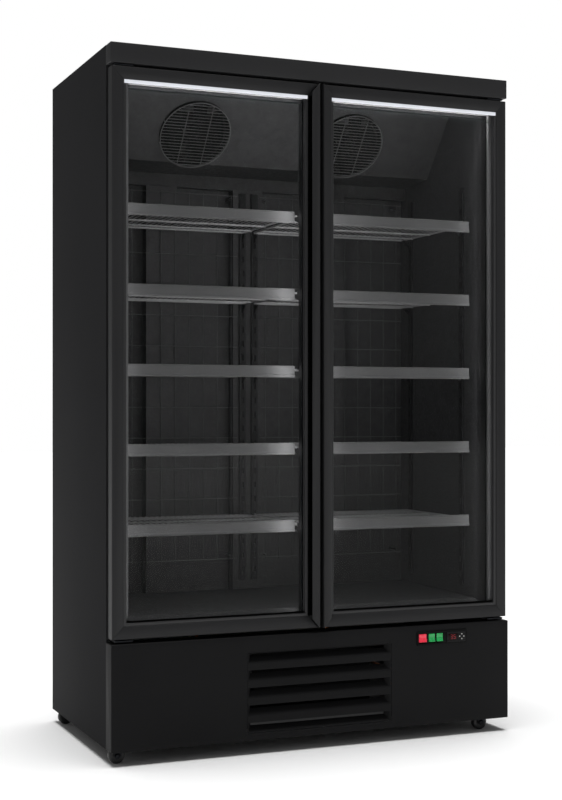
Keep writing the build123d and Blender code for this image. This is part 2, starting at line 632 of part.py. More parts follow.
def compressor():
    """Welded hermetic shell on its foot plate, with its terminal box."""
    x, y = 250.0, FACE_Y + 500.0
    floor = DECK_TOP
    body = Pos(x, y, floor + 95) * Cylinder(84.0, 150.0)
    body = fillet(body.edges().filter_by(GeomType.CIRCLE), 38.0)
    seam = rod_z(87.0, x, y, (floor + 92, floor + 97))
    feet = block((x - 100, x + 100), (y - 62, y + 62), (floor + 12, floor + 24))
    for fx in (x - 84, x + 84):
        for fy in (y - 46, y + 46):
            feet += rod_z(13.0, fx, fy, (floor, floor + 12))
    terminal = block((x - 118, x - 70), (y - 32, y + 32), (floor + 60, floor + 130))
    return body + seam + feet + terminal


def condenser():
    """Finned condenser block behind the grille, with its return bends."""
    y = (FACE_Y + 60.0, FACE_Y + 120.0)
    floor = DECK_TOP
    coil = block((-190.0, 190.0), y, (floor, 320.0))
    for row in range(7):
        z = 95.0 + row * 34.0
        for depth in (18.0, 42.0):
            coil += rod_x(4.8, y[0] + depth, z, (-202.0, 202.0))
    return coil


def condenser_shroud():
    """Plate with the fan's round opening, against the back of the condenser."""
    y = (FACE_Y + 120.0, COND_FAN_Y)
    floor = DECK_TOP
    box = block((-190.0, 190.0), y, (floor, 320.0))
    box -= block((-187.0, 187.0), (y[0], y[1] - 3.0), (floor + 3, 317.0))
    return box - rod_y(112.0, 0, COND_FAN_Z, (y[1] - 5, y[1] + 5))


def drip_tray():
    """Tray where the defrost water evaporates."""
    x = (-480.0, -220.0)
    y = (FACE_Y + 380.0, FACE_Y + 600.0)
    floor = DECK_TOP
    hollow = block((x[0] + 2, x[1] - 2), (y[0] + 2, y[1] - 2), (floor + 2, floor + 61))
    return block(x, y, (floor, floor + 60)) - hollow


def pipe(points, bend, radius):
    """Copper tube along straight runs joined by equal bends."""
    path = FilletPolyline(*points, radius=bend)
    start = path @ 0
    section = Plane(origin=start, z_dir=path % 0) * Circle(radius)
    return sweep(section, path=path)


def refrigerant_pipes():
    """Discharge, liquid and suction tubes between the compressor, condenser and evaporator."""
    y = FACE_Y
    return [pipe([(335.0, y + 500.0, 150.0), (400.0, y + 500.0, 150.0), (400.0, y + 102.0, 150.0),
                  (203.0, y + 102.0, 150.0)], 28.0, 4.0),
            pipe([(-203.0, y + 102.0, 231.0), (-260.0, y + 102.0, 231.0), (-260.0, y + 340.0, 231.0),
                  (-260.0, y + 340.0, 340.0)], 26.0, 4.0),
            pipe([(250.0, y + 500.0, 243.5), (250.0, y + 500.0, 300.0), (120.0, y + 500.0, 300.0),
                  (120.0, y + 500.0, 341.0)], 18.0, 6.0)]


# ---------------------------------------------------------------- controls

def control_bezel():
    """Moulded surround with openings for the rockers and the thermostat."""
    plate = block(BEZEL_X, (BEZEL_FACE_Y, KICK_Y), BEZEL_Z)
    plate = fillet(plate.edges().filter_by(Axis.Y), 3.0)
    rim = block((BEZEL_X[0] + 3.4, BEZEL_X[1] - 3.4), (KICK_Y, KICK_Y + 22),
                (BEZEL_Z[0] + 3.4, BEZEL_Z[1] - 3.4))
    bezel = plate + rim
    for x in ROCKERS.values():
        bezel -= block((x[0] - 0.6, x[1] + 0.6), (BEZEL_FACE_Y - 1, KICK_Y + 23),
                       (ROCKER_Z[0] - 0.6, ROCKER_Z[1] + 0.6))
        bezel += rod_x(1.5, ROCKER_PIVOT_Y, sum(ROCKER_Z) / 2, (x[0] - 0.8, x[1] + 0.8))
    bezel -= block(THERMOSTAT_X, (BEZEL_FACE_Y - 1, KICK_Y + 23), THERMOSTAT_Z)
    return bezel


def rocker(x):
    """Rocker with a shallow V face, tilted to its on position about its pivot bore."""
    middle = sum(ROCKER_Z) / 2
    half = (ROCKER_Z[1] - ROCKER_Z[0]) / 2
    depth = ROCKER_PIVOT_Y - BEZEL_FACE_Y
    outline = [(-depth - 2.4, 1.5 - half), (-depth - 0.6, 0), (-depth - 2.4, half - 1.5),
               (-3.0, half - 2.0), (4.0, 3.5), (4.0, -3.5), (-3.0, 2.0 - half)]
    cap = prism_x(outline, x) - rod_x(1.55, 0, 0, (x[0] - 1, x[1] + 1))
    return Pos(0, ROCKER_PIVOT_Y, middle) * Rot(-ROCKER_TILT, 0, 0) * cap


def thermostat():
    """Digital controller: case, front face and the wells of its four keys."""
    x, z = THERMOSTAT_X, THERMOSTAT_Z
    case = block(x, (BEZEL_FACE_Y - 1.5, KICK_Y + 40), z)
    case -= block((x[0] + 5, x[0] + 36), (BEZEL_FACE_Y - 2, BEZEL_FACE_Y - 0.7), (z[0] + 6, z[1] - 6))
    for dx, dz in BUTTONS.values():
        case -= rod_y(BUTTON_R + 0.3, BUTTON_CENTRE[0] + dx, BUTTON_CENTRE[1] + dz,
                      (BEZEL_FACE_Y - 2, BEZEL_FACE_Y + 4))
    return case


def key(dx, dz):
    """One key of the controller."""
    x, z = BUTTON_CENTRE
    return rod_y(BUTTON_R, x + dx, z + dz, (BEZEL_FACE_Y - 2.4, BEZEL_FACE_Y + 1.5))


# ---------------------------------------------------------------- castors
def castor_plate(px, py):
    """Top plate with the bore of the kingpin, its corners clear of the skirt."""
    plate = block((px - 29, px + 29), (py - 29, py + 29), (DECK_Z - 3.0, DECK_Z))
    return plate - rod_z(KINGPIN_R + 0.06, px, py, (DECK_Z - 4, DECK_Z + 1))


def castor_fork(px, py):
    """Swivel head, kingpin, two legs and the axle."""
    axle_x = px - TRAIL
    head_top = DECK_Z - 3.4
    head = rod_z(20.0, px, py, (head_top - 6.0, head_top))
    pin = rod_z(KINGPIN_R, px, py, (head_top, DECK_Z + 6.0))
    rivet = rod_z(6.5, px, py, (DECK_Z + 1.0, DECK_Z + 6.0))
    fork = head + pin + rivet
    for side in (-1, 1):
        y = sorted((py + side * (WHEEL_W / 2 + 1.5), py + side * (WHEEL_W / 2 + 4.0)))
        leg = prism_y([(px + 15, head_top - 3), (axle_x + 8.5, WHEEL_R - 2), (axle_x - 8.5, WHEEL_R - 2),
                       (axle_x - 9.5, WHEEL_R + 9), (px - 17, head_top - 3)], y)
        fork += leg + rod_y(8.7, axle_x, WHEEL_R, y)
    fork += rod_y(AXLE_R, axle_x, WHEEL_R, (py - WHEEL_W / 2 - 6.0, py + WHEEL_W / 2 + 6.0))
    if py == PIVOT_FRONT_Y:
        fork -= rod_y(BRAKE_PIN_R + 0.06, px - BRAKE_PIVOT_X, BRAKE_PIVOT_Z, (py - 20.0, py + 20.0))
    return fork


def castor_wheel(px, py):
    """Plain wheel with a rounded tread and the bore for its axle."""
    axle_x = px - TRAIL
    wheel = fillet(Cylinder(WHEEL_R, WHEEL_W).edges().filter_by(GeomType.CIRCLE), 3.5)
    wheel -= Cylinder(AXLE_R + 0.06, WHEEL_W + 2)
    for side in (-1, 1):
        wheel -= Pos(0, 0, side * WHEEL_W / 2) * (Cylinder(15.0, 4.0) - Cylinder(7.0, 5.0))
    return Pos(axle_x, py, WHEEL_R) * Rot(90, 0, 0) * wheel


def brake_pedal(px, py):
    """Foot lever that presses on the tread of a front castor."""
    x0 = px - BRAKE_PIVOT_X
    z = BRAKE_PIVOT_Z
    lever = prism_y([(x0 + 4, z - 3), (x0 - 26, z - 3.5), (px - 45, z - 7.5), (px - 45.5, z - 5.5),
                     (x0 - 26, z - 0.5), (x0 + 4, z + 3)], (py - 9.5, py + 9.5))
    return lever + rod_y(BRAKE_PIN_R, x0, z, (py - 16.0, py + 16.0))


# ---------------------------------------------------------------- write the nodes
def main():
    """Build and write every node."""
    save("side_panel_left", side_panel(-1))
    save("side_panel_right", side_panel(1))
    save("roof_panel", block((-SKIN_X, SKIN_X), (FRAME_Y, SKIN_BACK_Y), (HEIGHT - SKIN, HEIGHT)))
    save("back_panel", block((-HALF_W + 14.0, HALF_W - 14.0), (SKIN_BACK_Y, BACK_Y), (BOX_BOTTOM_Z, HEIGHT)))
    save("insulation_foam", *insulation_foam())
    save("inner_liner", inner_liner())
    save("front_frame", *front_frame())
    save("header_fascia", header_fascia())
    save("kick_panel", kick_panel())
    save("louvre_grille", louvre_grille())
    save("rear_vent_cover", rear_vent_cover())
    save("base_chassis", base_chassis())

    left_brackets = [hinge_bracket(True), hinge_bracket(False)]
    save("hinge_brackets", *left_brackets, *mirrored(left_brackets))
    door_nodes = {"door_frame": door_frame() + glazing_beads() + [glazing_spacer()],
                  "door_glass": door_glass(), "door_gasket": door_gasket(), "door_lamp": [door_lamp()]}
    for name, pieces in door_nodes.items():
        save(name + "_left", *pieces)
        save(name + "_right", *mirrored(pieces))

    save("evaporator_cover", evaporator_cover())
    save("evaporator_coil", evaporator_coil())
    save("fan_guards", fan_guard(-FAN_X), fan_guard(FAN_X))
    left_axis, right_axis = on_slope(-FAN_X, -FAN_SINK), on_slope(FAN_X, -FAN_SINK)
    save("evaporator_fan_left", left_axis * blade_set(BLADE_R, 24.0, 5, 1.6, 24.0, 22.0))
    save("evaporator_fan_right", right_axis * blade_set(BLADE_R, 24.0, 5, 1.6, 24.0, 22.0))
    condenser_axis = Location(Plane(origin=(0, COND_FAN_Y, COND_FAN_Z), x_dir=(1, 0, 0), z_dir=(0, -1, 0)))
    save("condenser_fan", condenser_axis * blade_set(104.0, 26.0, 5, 2.0, 26.0, 24.0))
    evaporator_motor = fan_motor(104.0, 12.4)
    save("fan_motors", left_axis * evaporator_motor, right_axis * evaporator_motor,
         condenser_axis * fan_motor(118.0, 0.0))

    save("rear_air_ducts", *rear_air_ducts())
    save("rear_wire_guard", *rear_wire_guard())
    save("shelf_standards", *shelf_standards())
    save("shelf_clips", *shelf_clips())
    base_shelf = wire_shelf(SHELF_LEVELS[0])
    shelves = [Pos(0, 0, level - SHELF_LEVELS[0]) * base_shelf for level in SHELF_LEVELS]
    save("shelves_left", *shelves)
    save("shelves_right", *mirrored(shelves))
    rails = [price_rail(level) for level in SHELF_LEVELS]
    save("price_rails", *rails, *mirrored(rails))

    save("compressor", compressor())
    save("condenser", condenser())
    save("condenser_shroud", condenser_shroud())
    save("drip_tray", drip_tray())
    save("refrigerant_pipes", *refrigerant_pipes())

    save("control_bezel", control_bezel())
    for name, x in ROCKERS.items():
        save(name, rocker(x))
    save("thermostat", thermostat())
    for name, (dx, dz) in BUTTONS.items():
        save(name, key(dx, dz))

    save("castor_plates", *[castor_plate(px, py) for px, py in CASTORS.values()])
    for name, (px, py) in CASTORS.items():
        save("castor_fork_" + name, castor_fork(px, py))
        save("castor_wheel_" + name, castor_wheel(px, py))
        if name.startswith("front"):
            save("brake_pedal_" + name, brake_pedal(px, py))


main()
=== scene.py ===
"""Visual model of a two-door glass merchandiser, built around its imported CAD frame."""
import logging
from dataclasses import dataclass, field
from enum import Enum
from math import cos, pi, radians, sin, sqrt
from typing import Iterable, Optional, Sequence

import bmesh
import bpy
from mathutils import Matrix, Vector


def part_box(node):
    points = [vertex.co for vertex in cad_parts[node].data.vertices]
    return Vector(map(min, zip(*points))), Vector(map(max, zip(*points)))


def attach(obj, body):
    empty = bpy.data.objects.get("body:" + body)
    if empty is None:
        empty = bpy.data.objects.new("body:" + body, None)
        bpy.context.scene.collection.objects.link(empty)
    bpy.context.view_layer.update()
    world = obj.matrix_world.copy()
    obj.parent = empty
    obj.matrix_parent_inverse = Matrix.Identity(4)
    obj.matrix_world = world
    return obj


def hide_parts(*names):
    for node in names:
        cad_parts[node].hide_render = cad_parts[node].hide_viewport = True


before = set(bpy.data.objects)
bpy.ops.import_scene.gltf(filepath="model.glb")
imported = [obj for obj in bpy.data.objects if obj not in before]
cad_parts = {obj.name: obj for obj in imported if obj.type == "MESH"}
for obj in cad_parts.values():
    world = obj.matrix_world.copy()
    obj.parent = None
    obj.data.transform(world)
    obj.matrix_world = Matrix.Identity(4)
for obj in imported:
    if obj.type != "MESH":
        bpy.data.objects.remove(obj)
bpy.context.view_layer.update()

LOG = logging.getLogger("merchandiser")
MM = 0.001
Point = tuple[float, float, float]
Flat = tuple[float, float]
Range = tuple[float, float]


# ---------------------------------------------------------------- finishes
def linear(colour: str) -> tuple[float, float, float, float]:
    """Turn an sRGB hex colour such as "#1d1d1f" into linear RGBA.

    Args:
        colour: The colour as "#rrggbb".

    Returns:
        Linear red, green, blue and an alpha of one.
    """
    parts = [int(colour[i:i + 2], 16) / 255 for i in (1, 3, 5)]
    steps = [c / 12.92 if c <= 0.04045 else ((c + 0.055) / 1.055) ** 2.4 for c in parts]
    return (steps[0], steps[1], steps[2], 1.0)


def add_node(tree: bpy.types.NodeTree, kind: str, inputs: Optional[dict] = None,
             **settings) -> bpy.types.Node:
    """Add one shader node with its settings, values and links.

    Args:
        tree: The node tree that it goes into.
        kind: The node's type name.
        inputs: Values by input name; an output socket is linked instead of set.
        settings: Properties of the node itself.

    Returns:
        The new node.
    """
    node = tree.nodes.new(kind)
    for name, value in settings.items():
        setattr(node, name, value)
    for name, value in (inputs or {}).items():
        if isinstance(value, bpy.types.NodeSocket):
            tree.links.new(value, node.inputs[name])
        else:
            node.inputs[name].default_value = value
    return node


class Grain(Enum):
    """How a surface got its fine relief."""

    PEEL = "sprayed, with a soft orange peel"
    STUCCO = "embossed in the rolling mill"
    DRAWN = "drawn or brushed along one direction"
    SPARK = "spark-eroded mould texture"
    FINS = "thin fins stacked side by side"
    CELLS = "foamed, with cut cells"


@dataclass(frozen=True)
class Finish:
    """One real finish: its colours, gloss and relief.

    Sizes are in millimetres. The stretch gives how much finer the pattern is along each axis.
    """

    name: str
    slot: str
    colour: str
    tint: str
    roughness: Range
    grain: Grain
    grain_mm: float
    relief_mm: float
    mottle_mm: float = 160.0
    metallic: float = 0.0
    specular: float = 0.5
    alpha: float = 1.0
    glow: float = 0.0
    coat: float = 0.0
    stretch: Point = (1.0, 1.0, 1.0)

    def relief(self, tree: bpy.types.NodeTree, place: bpy.types.NodeSocket) -> bpy.types.NodeSocket:
        """Add the texture of the surface's relief.

        Args:
            tree: The material's node tree.
            place: The coordinates it reads.

        Returns:
            The socket with its height.
        """
        scale = 1.0 / (self.grain_mm * MM)
        if self.grain is Grain.STUCCO:
            bumps = add_node(tree, "ShaderNodeTexVoronoi",
                             {"Vector": place, "Scale": scale, "Smoothness": 0.7}, feature="SMOOTH_F1")
            return bumps.outputs["Distance"]
        if self.grain is Grain.FINS:
            bands = add_node(tree, "ShaderNodeTexWave",
                             {"Vector": place, "Scale": scale * pi / 10, "Distortion": 0.0},
                             wave_type="BANDS", bands_direction="X")
            return bands.outputs["Fac"]
        if self.grain is Grain.CELLS:
            cells = add_node(tree, "ShaderNodeTexVoronoi", {"Vector": place, "Scale": scale})
            return cells.outputs["Distance"]
        detail = 5.0 if self.grain is Grain.SPARK else 2.0
        noise = add_node(tree, "ShaderNodeTexNoise", {"Vector": place, "Scale": scale, "Detail": detail})
        return noise.outputs["Fac"]

    def material(self) -> bpy.types.Material:
        """Build the finish's material once, and give the same one every time after."""
        made = bpy.data.materials.get(self.name)
        if made is not None:
            return made
        made = bpy.data.materials.new(self.name)
        made.use_nodes = True
        tree = made.node_tree
        tree.nodes.clear()
        coordinates = add_node(tree, "ShaderNodeTexCoord")
        place = add_node(tree, "ShaderNodeMapping", {
            "Vector": coordinates.outputs["Object"], "Scale": self.stretch})
        mottle = add_node(tree, "ShaderNodeTexNoise", {
            "Vector": coordinates.outputs["Object"], "Scale": 1.0 / (self.mottle_mm * MM), "Detail": 4.0,
            "Roughness": 0.62})
        tone = add_node(tree, "ShaderNodeValToRGB", {"Fac": mottle.outputs["Fac"]})
        low, high = tone.color_ramp.elements
        low.position, low.color = 0.3, linear(self.colour)
        high.position, high.color = 0.72, linear(self.tint)
        height = self.relief(tree, place.outputs["Vector"])
        gloss = add_node(tree, "ShaderNodeMapRange", {
            "Value": height, "To Min": self.roughness[0], "To Max": self.roughness[1]})
        bump = add_node(tree, "ShaderNodeBump", {
            "Height": height, "Distance": self.relief_mm * MM, "Strength": 0.8})
        shader = add_node(tree, "ShaderNodeBsdfPrincipled", {
            "Base Color": tone.outputs["Color"], "Roughness": gloss.outputs["Result"],
            "Normal": bump.outputs["Normal"], "Metallic": self.metallic, "Alpha": self.alpha})
        if not self.metallic:
            shader.inputs["Specular IOR Level"].default_value = self.specular
        if self.coat:
            shader.inputs["Coat Weight"].default_value = self.coat
            shader.inputs["Coat Roughness"].default_value = 0.08
        if self.glow:
            tree.links.new(tone.outputs["Color"], shader.inputs["Emission Color"])
            shader.inputs["Emission Strength"].default_value = self.glow
        add_node(tree, "ShaderNodeOutputMaterial", {"Surface": shader.outputs["BSDF"]})
        return made


# Polyester powder sprayed on sheet steel and baked: satin black with a very faint orange peel.
POWDER_COAT = Finish("black_polyester_powder_coat", "black_powder_coat", "#2a2a2b", "#2d2d2e", (0.46, 0.56),
                     Grain.PEEL, 5.0, 0.02, mottle_mm=420.0, specular=0.16)
# The same powder on the side skins, drawn a touch darker than the canopy's as painted shade on the sides, and
# with almost no sheen.
SIDE_SHADE_COAT = Finish("black_powder_coat_side_skin", "black_powder_coat", "#252526", "#282829", (0.60, 0.70),
                   Grain.PEEL, 6.0, 0.02, mottle_mm=500.0, specular=0.02)
# The same powder on the lower panel and its grille, drawn much darker and a little duller: a painted-shade
# copy of the canopy's coat.
LOWER_PANEL_SHADE_COAT = Finish("black_powder_coat_lower_panel_painted_shade", "black_powder_coat", "#0f0f10", "#131314", (0.48, 0.60),
                   Grain.PEEL, 5.0, 0.02, mottle_mm=300.0, specular=0.12)
# Hot-dip galvanised sheet: dull grey with soft spangle patches about 12 mm across.
GALVANISED = Finish("galvanised_sheet_steel", "zinc_plated_steel", "#8b9092", "#a9adae", (0.38, 0.55),
                    Grain.CELLS, 12.0, 0.03, mottle_mm=30.0, metallic=1.0)
# Poured polyurethane foam behind the skins: matt, cream, full of cut cells.
FOAM = Finish("polyurethane_foam", "insulation_foam", "#c9b681", "#d8c897", (0.85, 0.95),
              Grain.CELLS, 2.5, 0.5, mottle_mm=60.0, specular=0.2)
# Aluminium liner sheet with a rolled stucco pattern, coated black: broken soft highlights.
LINER_COAT = Finish("stucco_embossed_aluminium_coated", "dark_liner_coat", "#2b2b2c", "#3a3a3b", (0.42, 0.62),
                    Grain.STUCCO, 9.0, 0.7, mottle_mm=26.0, specular=0.45)
# Extruded rigid PVC breaker strips: smooth and slightly waxy.
PVC = Finish("extruded_rigid_pvc", "black_pvc", "#1a1a1b", "#202021", (0.36, 0.44),
             Grain.DRAWN, 3.0, 0.01, specular=0.42, stretch=(1.0, 1.0, 0.05))
# Zinc plate with a black passivate on castor and hinge steel: dark metal with a dull gleam.
ZINC = Finish("black_passivated_zinc", "bright_zinc", "#1f2022", "#2c2d30", (0.34, 0.50),
              Grain.DRAWN, 2.0, 0.01, mottle_mm=18.0, metallic=1.0, stretch=(1.0, 1.0, 0.2))
# Extruded aluminium, satin black anodised: fine lines along the profile, crisp folded highlights.
ANODISED = Finish("satin_black_anodised_aluminium", "black_anodised_aluminium", "#242425", "#282829",
                  (0.40, 0.50), Grain.DRAWN, 2.2, 0.006, mottle_mm=500.0, specular=0.18,
                  stretch=(1.0, 1.0, 0.03))
# Soda-lime float glass: nearly clear, with only a faint haze from handling.
GLASS = Finish("soda_lime_float_glass", "clear_glass", "#0c0f0f", "#101414", (0.02, 0.05),
               Grain.PEEL, 90.0, 0.002, mottle_mm=200.0, alpha=0.05)
# Flexible PVC magnet gasket: matt black and slightly chalky.
GASKET = Finish("flexible_pvc_gasket", "gasket_rubber", "#121212", "#1a1a1a", (0.58, 0.72),
                Grain.SPARK, 4.0, 0.05, mottle_mm=40.0, specular=0.3)
# Opal acrylic over a light bar: an even white glow.
OPAL = Finish("opal_acrylic_diffuser", "lamp_diffuser", "#9fa1a6", "#a9abb0", (0.35, 0.45),
              Grain.PEEL, 20.0, 0.01, mottle_mm=90.0, glow=1.35, specular=0.1)
# Aluminium fins dipped in black epoxy against rust: faint lines every few millimetres, which are
# drawn coarser than real so that they show.
FINNED = Finish("epoxy_dipped_aluminium_fins", "finned_aluminium", "#060606", "#0b0b0c", (0.50, 0.70),
                Grain.FINS, 5.0, 1.2, mottle_mm=80.0, specular=0.3)
# Drawn steel guard wire, dipped in black polyamide: a satin skin with a soft line of light along it.
GUARD_WIRE = Finish("nylon_dipped_guard_wire", "guard_wire", "#4a4a4b", "#5a5a5b", (0.30, 0.42),
                    Grain.SPARK, 3.0, 0.02, mottle_mm=30.0, specular=0.6)
# Glass-filled polypropylene, injection moulded: a dull, near-black fan with a faint mould grain.
FAN_PLASTIC = Finish("moulded_polypropylene", "fan_plastic", "#040404", "#070707", (0.50, 0.65),
                     Grain.SPARK, 2.5, 0.03, mottle_mm=40.0, specular=0.22)
# Die-cast aluminium, painted: a dull black casing with a slightly rough skin.
MOTOR = Finish("painted_motor_casting", "motor_casing", "#0b0b0b", "#101011", (0.45, 0.6),
               Grain.SPARK, 3.5, 0.08, mottle_mm=25.0, specular=0.4)
# Steel shelf wire, welded and then polyester coated: mid-grey and satin, brightest on its top side.
SHELF_WIRE = Finish("polyester_coated_wire", "coated_wire", "#8c8c8d", "#9a9a9b", (0.32, 0.44),
                    Grain.SPARK, 4.0, 0.02, mottle_mm=50.0, specular=0.55)
# The same wire in a dark coat, for the rear screens: it barely stands out from the wall.
SCREEN_WIRE = Finish("dark_coated_screen_wire", "coated_wire", "#3c3c3d", "#4a4a4b", (0.34, 0.46),
                     Grain.SPARK, 4.0, 0.02, mottle_mm=50.0, specular=0.5)
# Roll-formed steel strip, coated black: slotted uprights and clips with a plain satin face.
STRIP_COAT = Finish("coated_roll_formed_steel", "black_strip_coat", "#171718", "#1f1f20", (0.4, 0.52),
                    Grain.PEEL, 4.0, 0.02, mottle_mm=70.0, specular=0.4)
# Extruded grey PVC: a smooth price rail with faint draw lines along it.
RAIL = Finish("extruded_grey_pvc_rail", "grey_rail_plastic", "#5c5c5d", "#666667", (0.34, 0.46),
              Grain.DRAWN, 2.0, 0.02, mottle_mm=140.0, specular=0.45, stretch=(0.03, 1.0, 1.0))
# Pressed steel, stove enamelled black: a compressor shell with a wet-looking gloss.
ENAMEL = Finish("stove_enamelled_steel", "compressor_enamel", "#111112", "#1a1a1b", (0.22, 0.34),
                Grain.PEEL, 6.0, 0.05, mottle_mm=60.0, specular=0.5, coat=0.3)
# Vacuum-formed polystyrene sheet: a pale grey, slightly waxy tray.
TRAY = Finish("vacuum_formed_polystyrene", "tray_plastic", "#6f7173", "#7d7f81", (0.4, 0.55),
              Grain.SPARK, 5.0, 0.05, mottle_mm=70.0)
# Soft copper tube, drawn and browned by handling: a warm metal with a patchy shine.
COPPER = Finish("drawn_copper_tube", "copper_tube", "#a8613c", "#c88a63", (0.25, 0.42),
                Grain.DRAWN, 3.0, 0.01, mottle_mm=24.0, metallic=1.0)
# Injection-moulded ABS: a black control surround with a fine spark texture and little gloss.
ABS = Finish("moulded_black_abs", "bezel_plastic", "#050505", "#080808", (0.40, 0.52),
             Grain.SPARK, 1.6, 0.02, mottle_mm=20.0, specular=0.1)
# Translucent polycarbonate, moulded and lit from behind: glossy caps with an even inner glow.
RED_ROCKER = Finish("red_polycarbonate", "red_rocker", "#c8192f", "#e8324a", (0.18, 0.28),
                    Grain.SPARK, 2.0, 0.01, mottle_mm=9.0, glow=0.35, coat=0.4)
GREEN_ROCKER = Finish("green_polycarbonate", "green_rocker", "#067a35", "#14a150", (0.18, 0.28),
                      Grain.SPARK, 2.0, 0.01, mottle_mm=9.0, glow=0.3, coat=0.4)
# Injection-moulded ABS of the thermostat's case: dark grey and matt against the surround.
CONTROLLER = Finish("moulded_controller_abs", "controller_plastic", "#101011", "#151516", (0.4, 0.5),
                    Grain.SPARK, 1.5, 0.02, mottle_mm=20.0, specular=0.15)
# Moulded silicone rubber keys: pale, matt and soft-edged.
KEYS = Finish("moulded_silicone_keys", "key_plastic", "#a9a9a6", "#bdbdba", (0.5, 0.62),
              Grain.SPARK, 1.0, 0.02, mottle_mm=5.0)
# Smoked acrylic sheet, cut and polished: a nearly black window with a red cast.
SMOKED = Finish("smoked_acrylic_window", "controller_plastic", "#140305", "#1a0406", (0.20, 0.28),
                Grain.PEEL, 8.0, 0.005, mottle_mm=12.0, specular=0.12)
# Diffused epoxy over red light-emitting chips: flat bars that glow dimly.
DIGIT_RED = Finish("red_light_emitting_segment", "controller_plastic", "#6e0c14", "#86121c", (0.3, 0.4),
                   Grain.PEEL, 3.0, 0.002, mottle_mm=4.0, glow=0.8)
# Co-extruded glazing bead: satin grey-black with a slightly lighter lip.
BEAD = Finish("coextruded_glazing_bead", "black_anodised_aluminium", "#272728", "#2c2c2d", (0.34, 0.44),
              Grain.DRAWN, 2.0, 0.005, mottle_mm=300.0, specular=0.32, stretch=(1.0, 1.0, 0.04))
# Aluminium spacer bar of the double glazing, dark anodised: it catches a line of light.
SPACER = Finish("dark_anodised_spacer_bar", "black_anodised_aluminium", "#5c5c5d", "#666667", (0.34, 0.44),
                Grain.DRAWN, 2.0, 0.005, mottle_mm=200.0, specular=0.4, stretch=(1.0, 1.0, 0.04))
# A near-black, dull strip: painted shade lining the pull's finger groove and along the top of the bottom
# bead.
SHADE_BLACK = Finish("flocked_groove_strip", "black_anodised_aluminium", "#020202", "#040404", (0.85, 0.95),
               Grain.SPARK, 1.2, 0.05, mottle_mm=60.0, specular=0.02)
# Cast nylon tread and hub: black, dull and a little scuffed.
NYLON = Finish("cast_black_nylon", "castor_nylon", "#161617", "#202021", (0.4, 0.55),
               Grain.SPARK, 3.0, 0.05, mottle_mm=12.0, specular=0.45)

# The finishes that CAD nodes can ask for by slot; where two share a slot, the first one counts.
FINISHES = [POWDER_COAT, GALVANISED, FOAM, LINER_COAT, PVC, ZINC, ANODISED, GLASS, GASKET, OPAL, FINNED,
            GUARD_WIRE, FAN_PLASTIC, MOTOR, SHELF_WIRE, STRIP_COAT, RAIL, ENAMEL, TRAY, COPPER, ABS,
            RED_ROCKER, GREEN_ROCKER, CONTROLLER, KEYS, NYLON]


# ---------------------------------------------------------------- places and shapes
TOUCH = 1e-3
MERGE = 0.0005
POLE_MERGE = 0.002
CORNER_SHARE = 0.6
SHARP_ANGLE = radians(42)


@dataclass(frozen=True)
class Extent:
    """The box that CAD nodes fill, in millimetres."""

    x: Range
    y: Range
    z: Range

    @classmethod
    def of(cls, node: str) -> "Extent":
        """Give the box of one CAD node."""
        low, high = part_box(node)
        return cls(*[(low[i] / MM, high[i] / MM) for i in range(3)])


class Axis(Enum):
    """The direction a profile is drawn along, with its place in a point."""

    X = 0
    Y = 1
    Z = 2


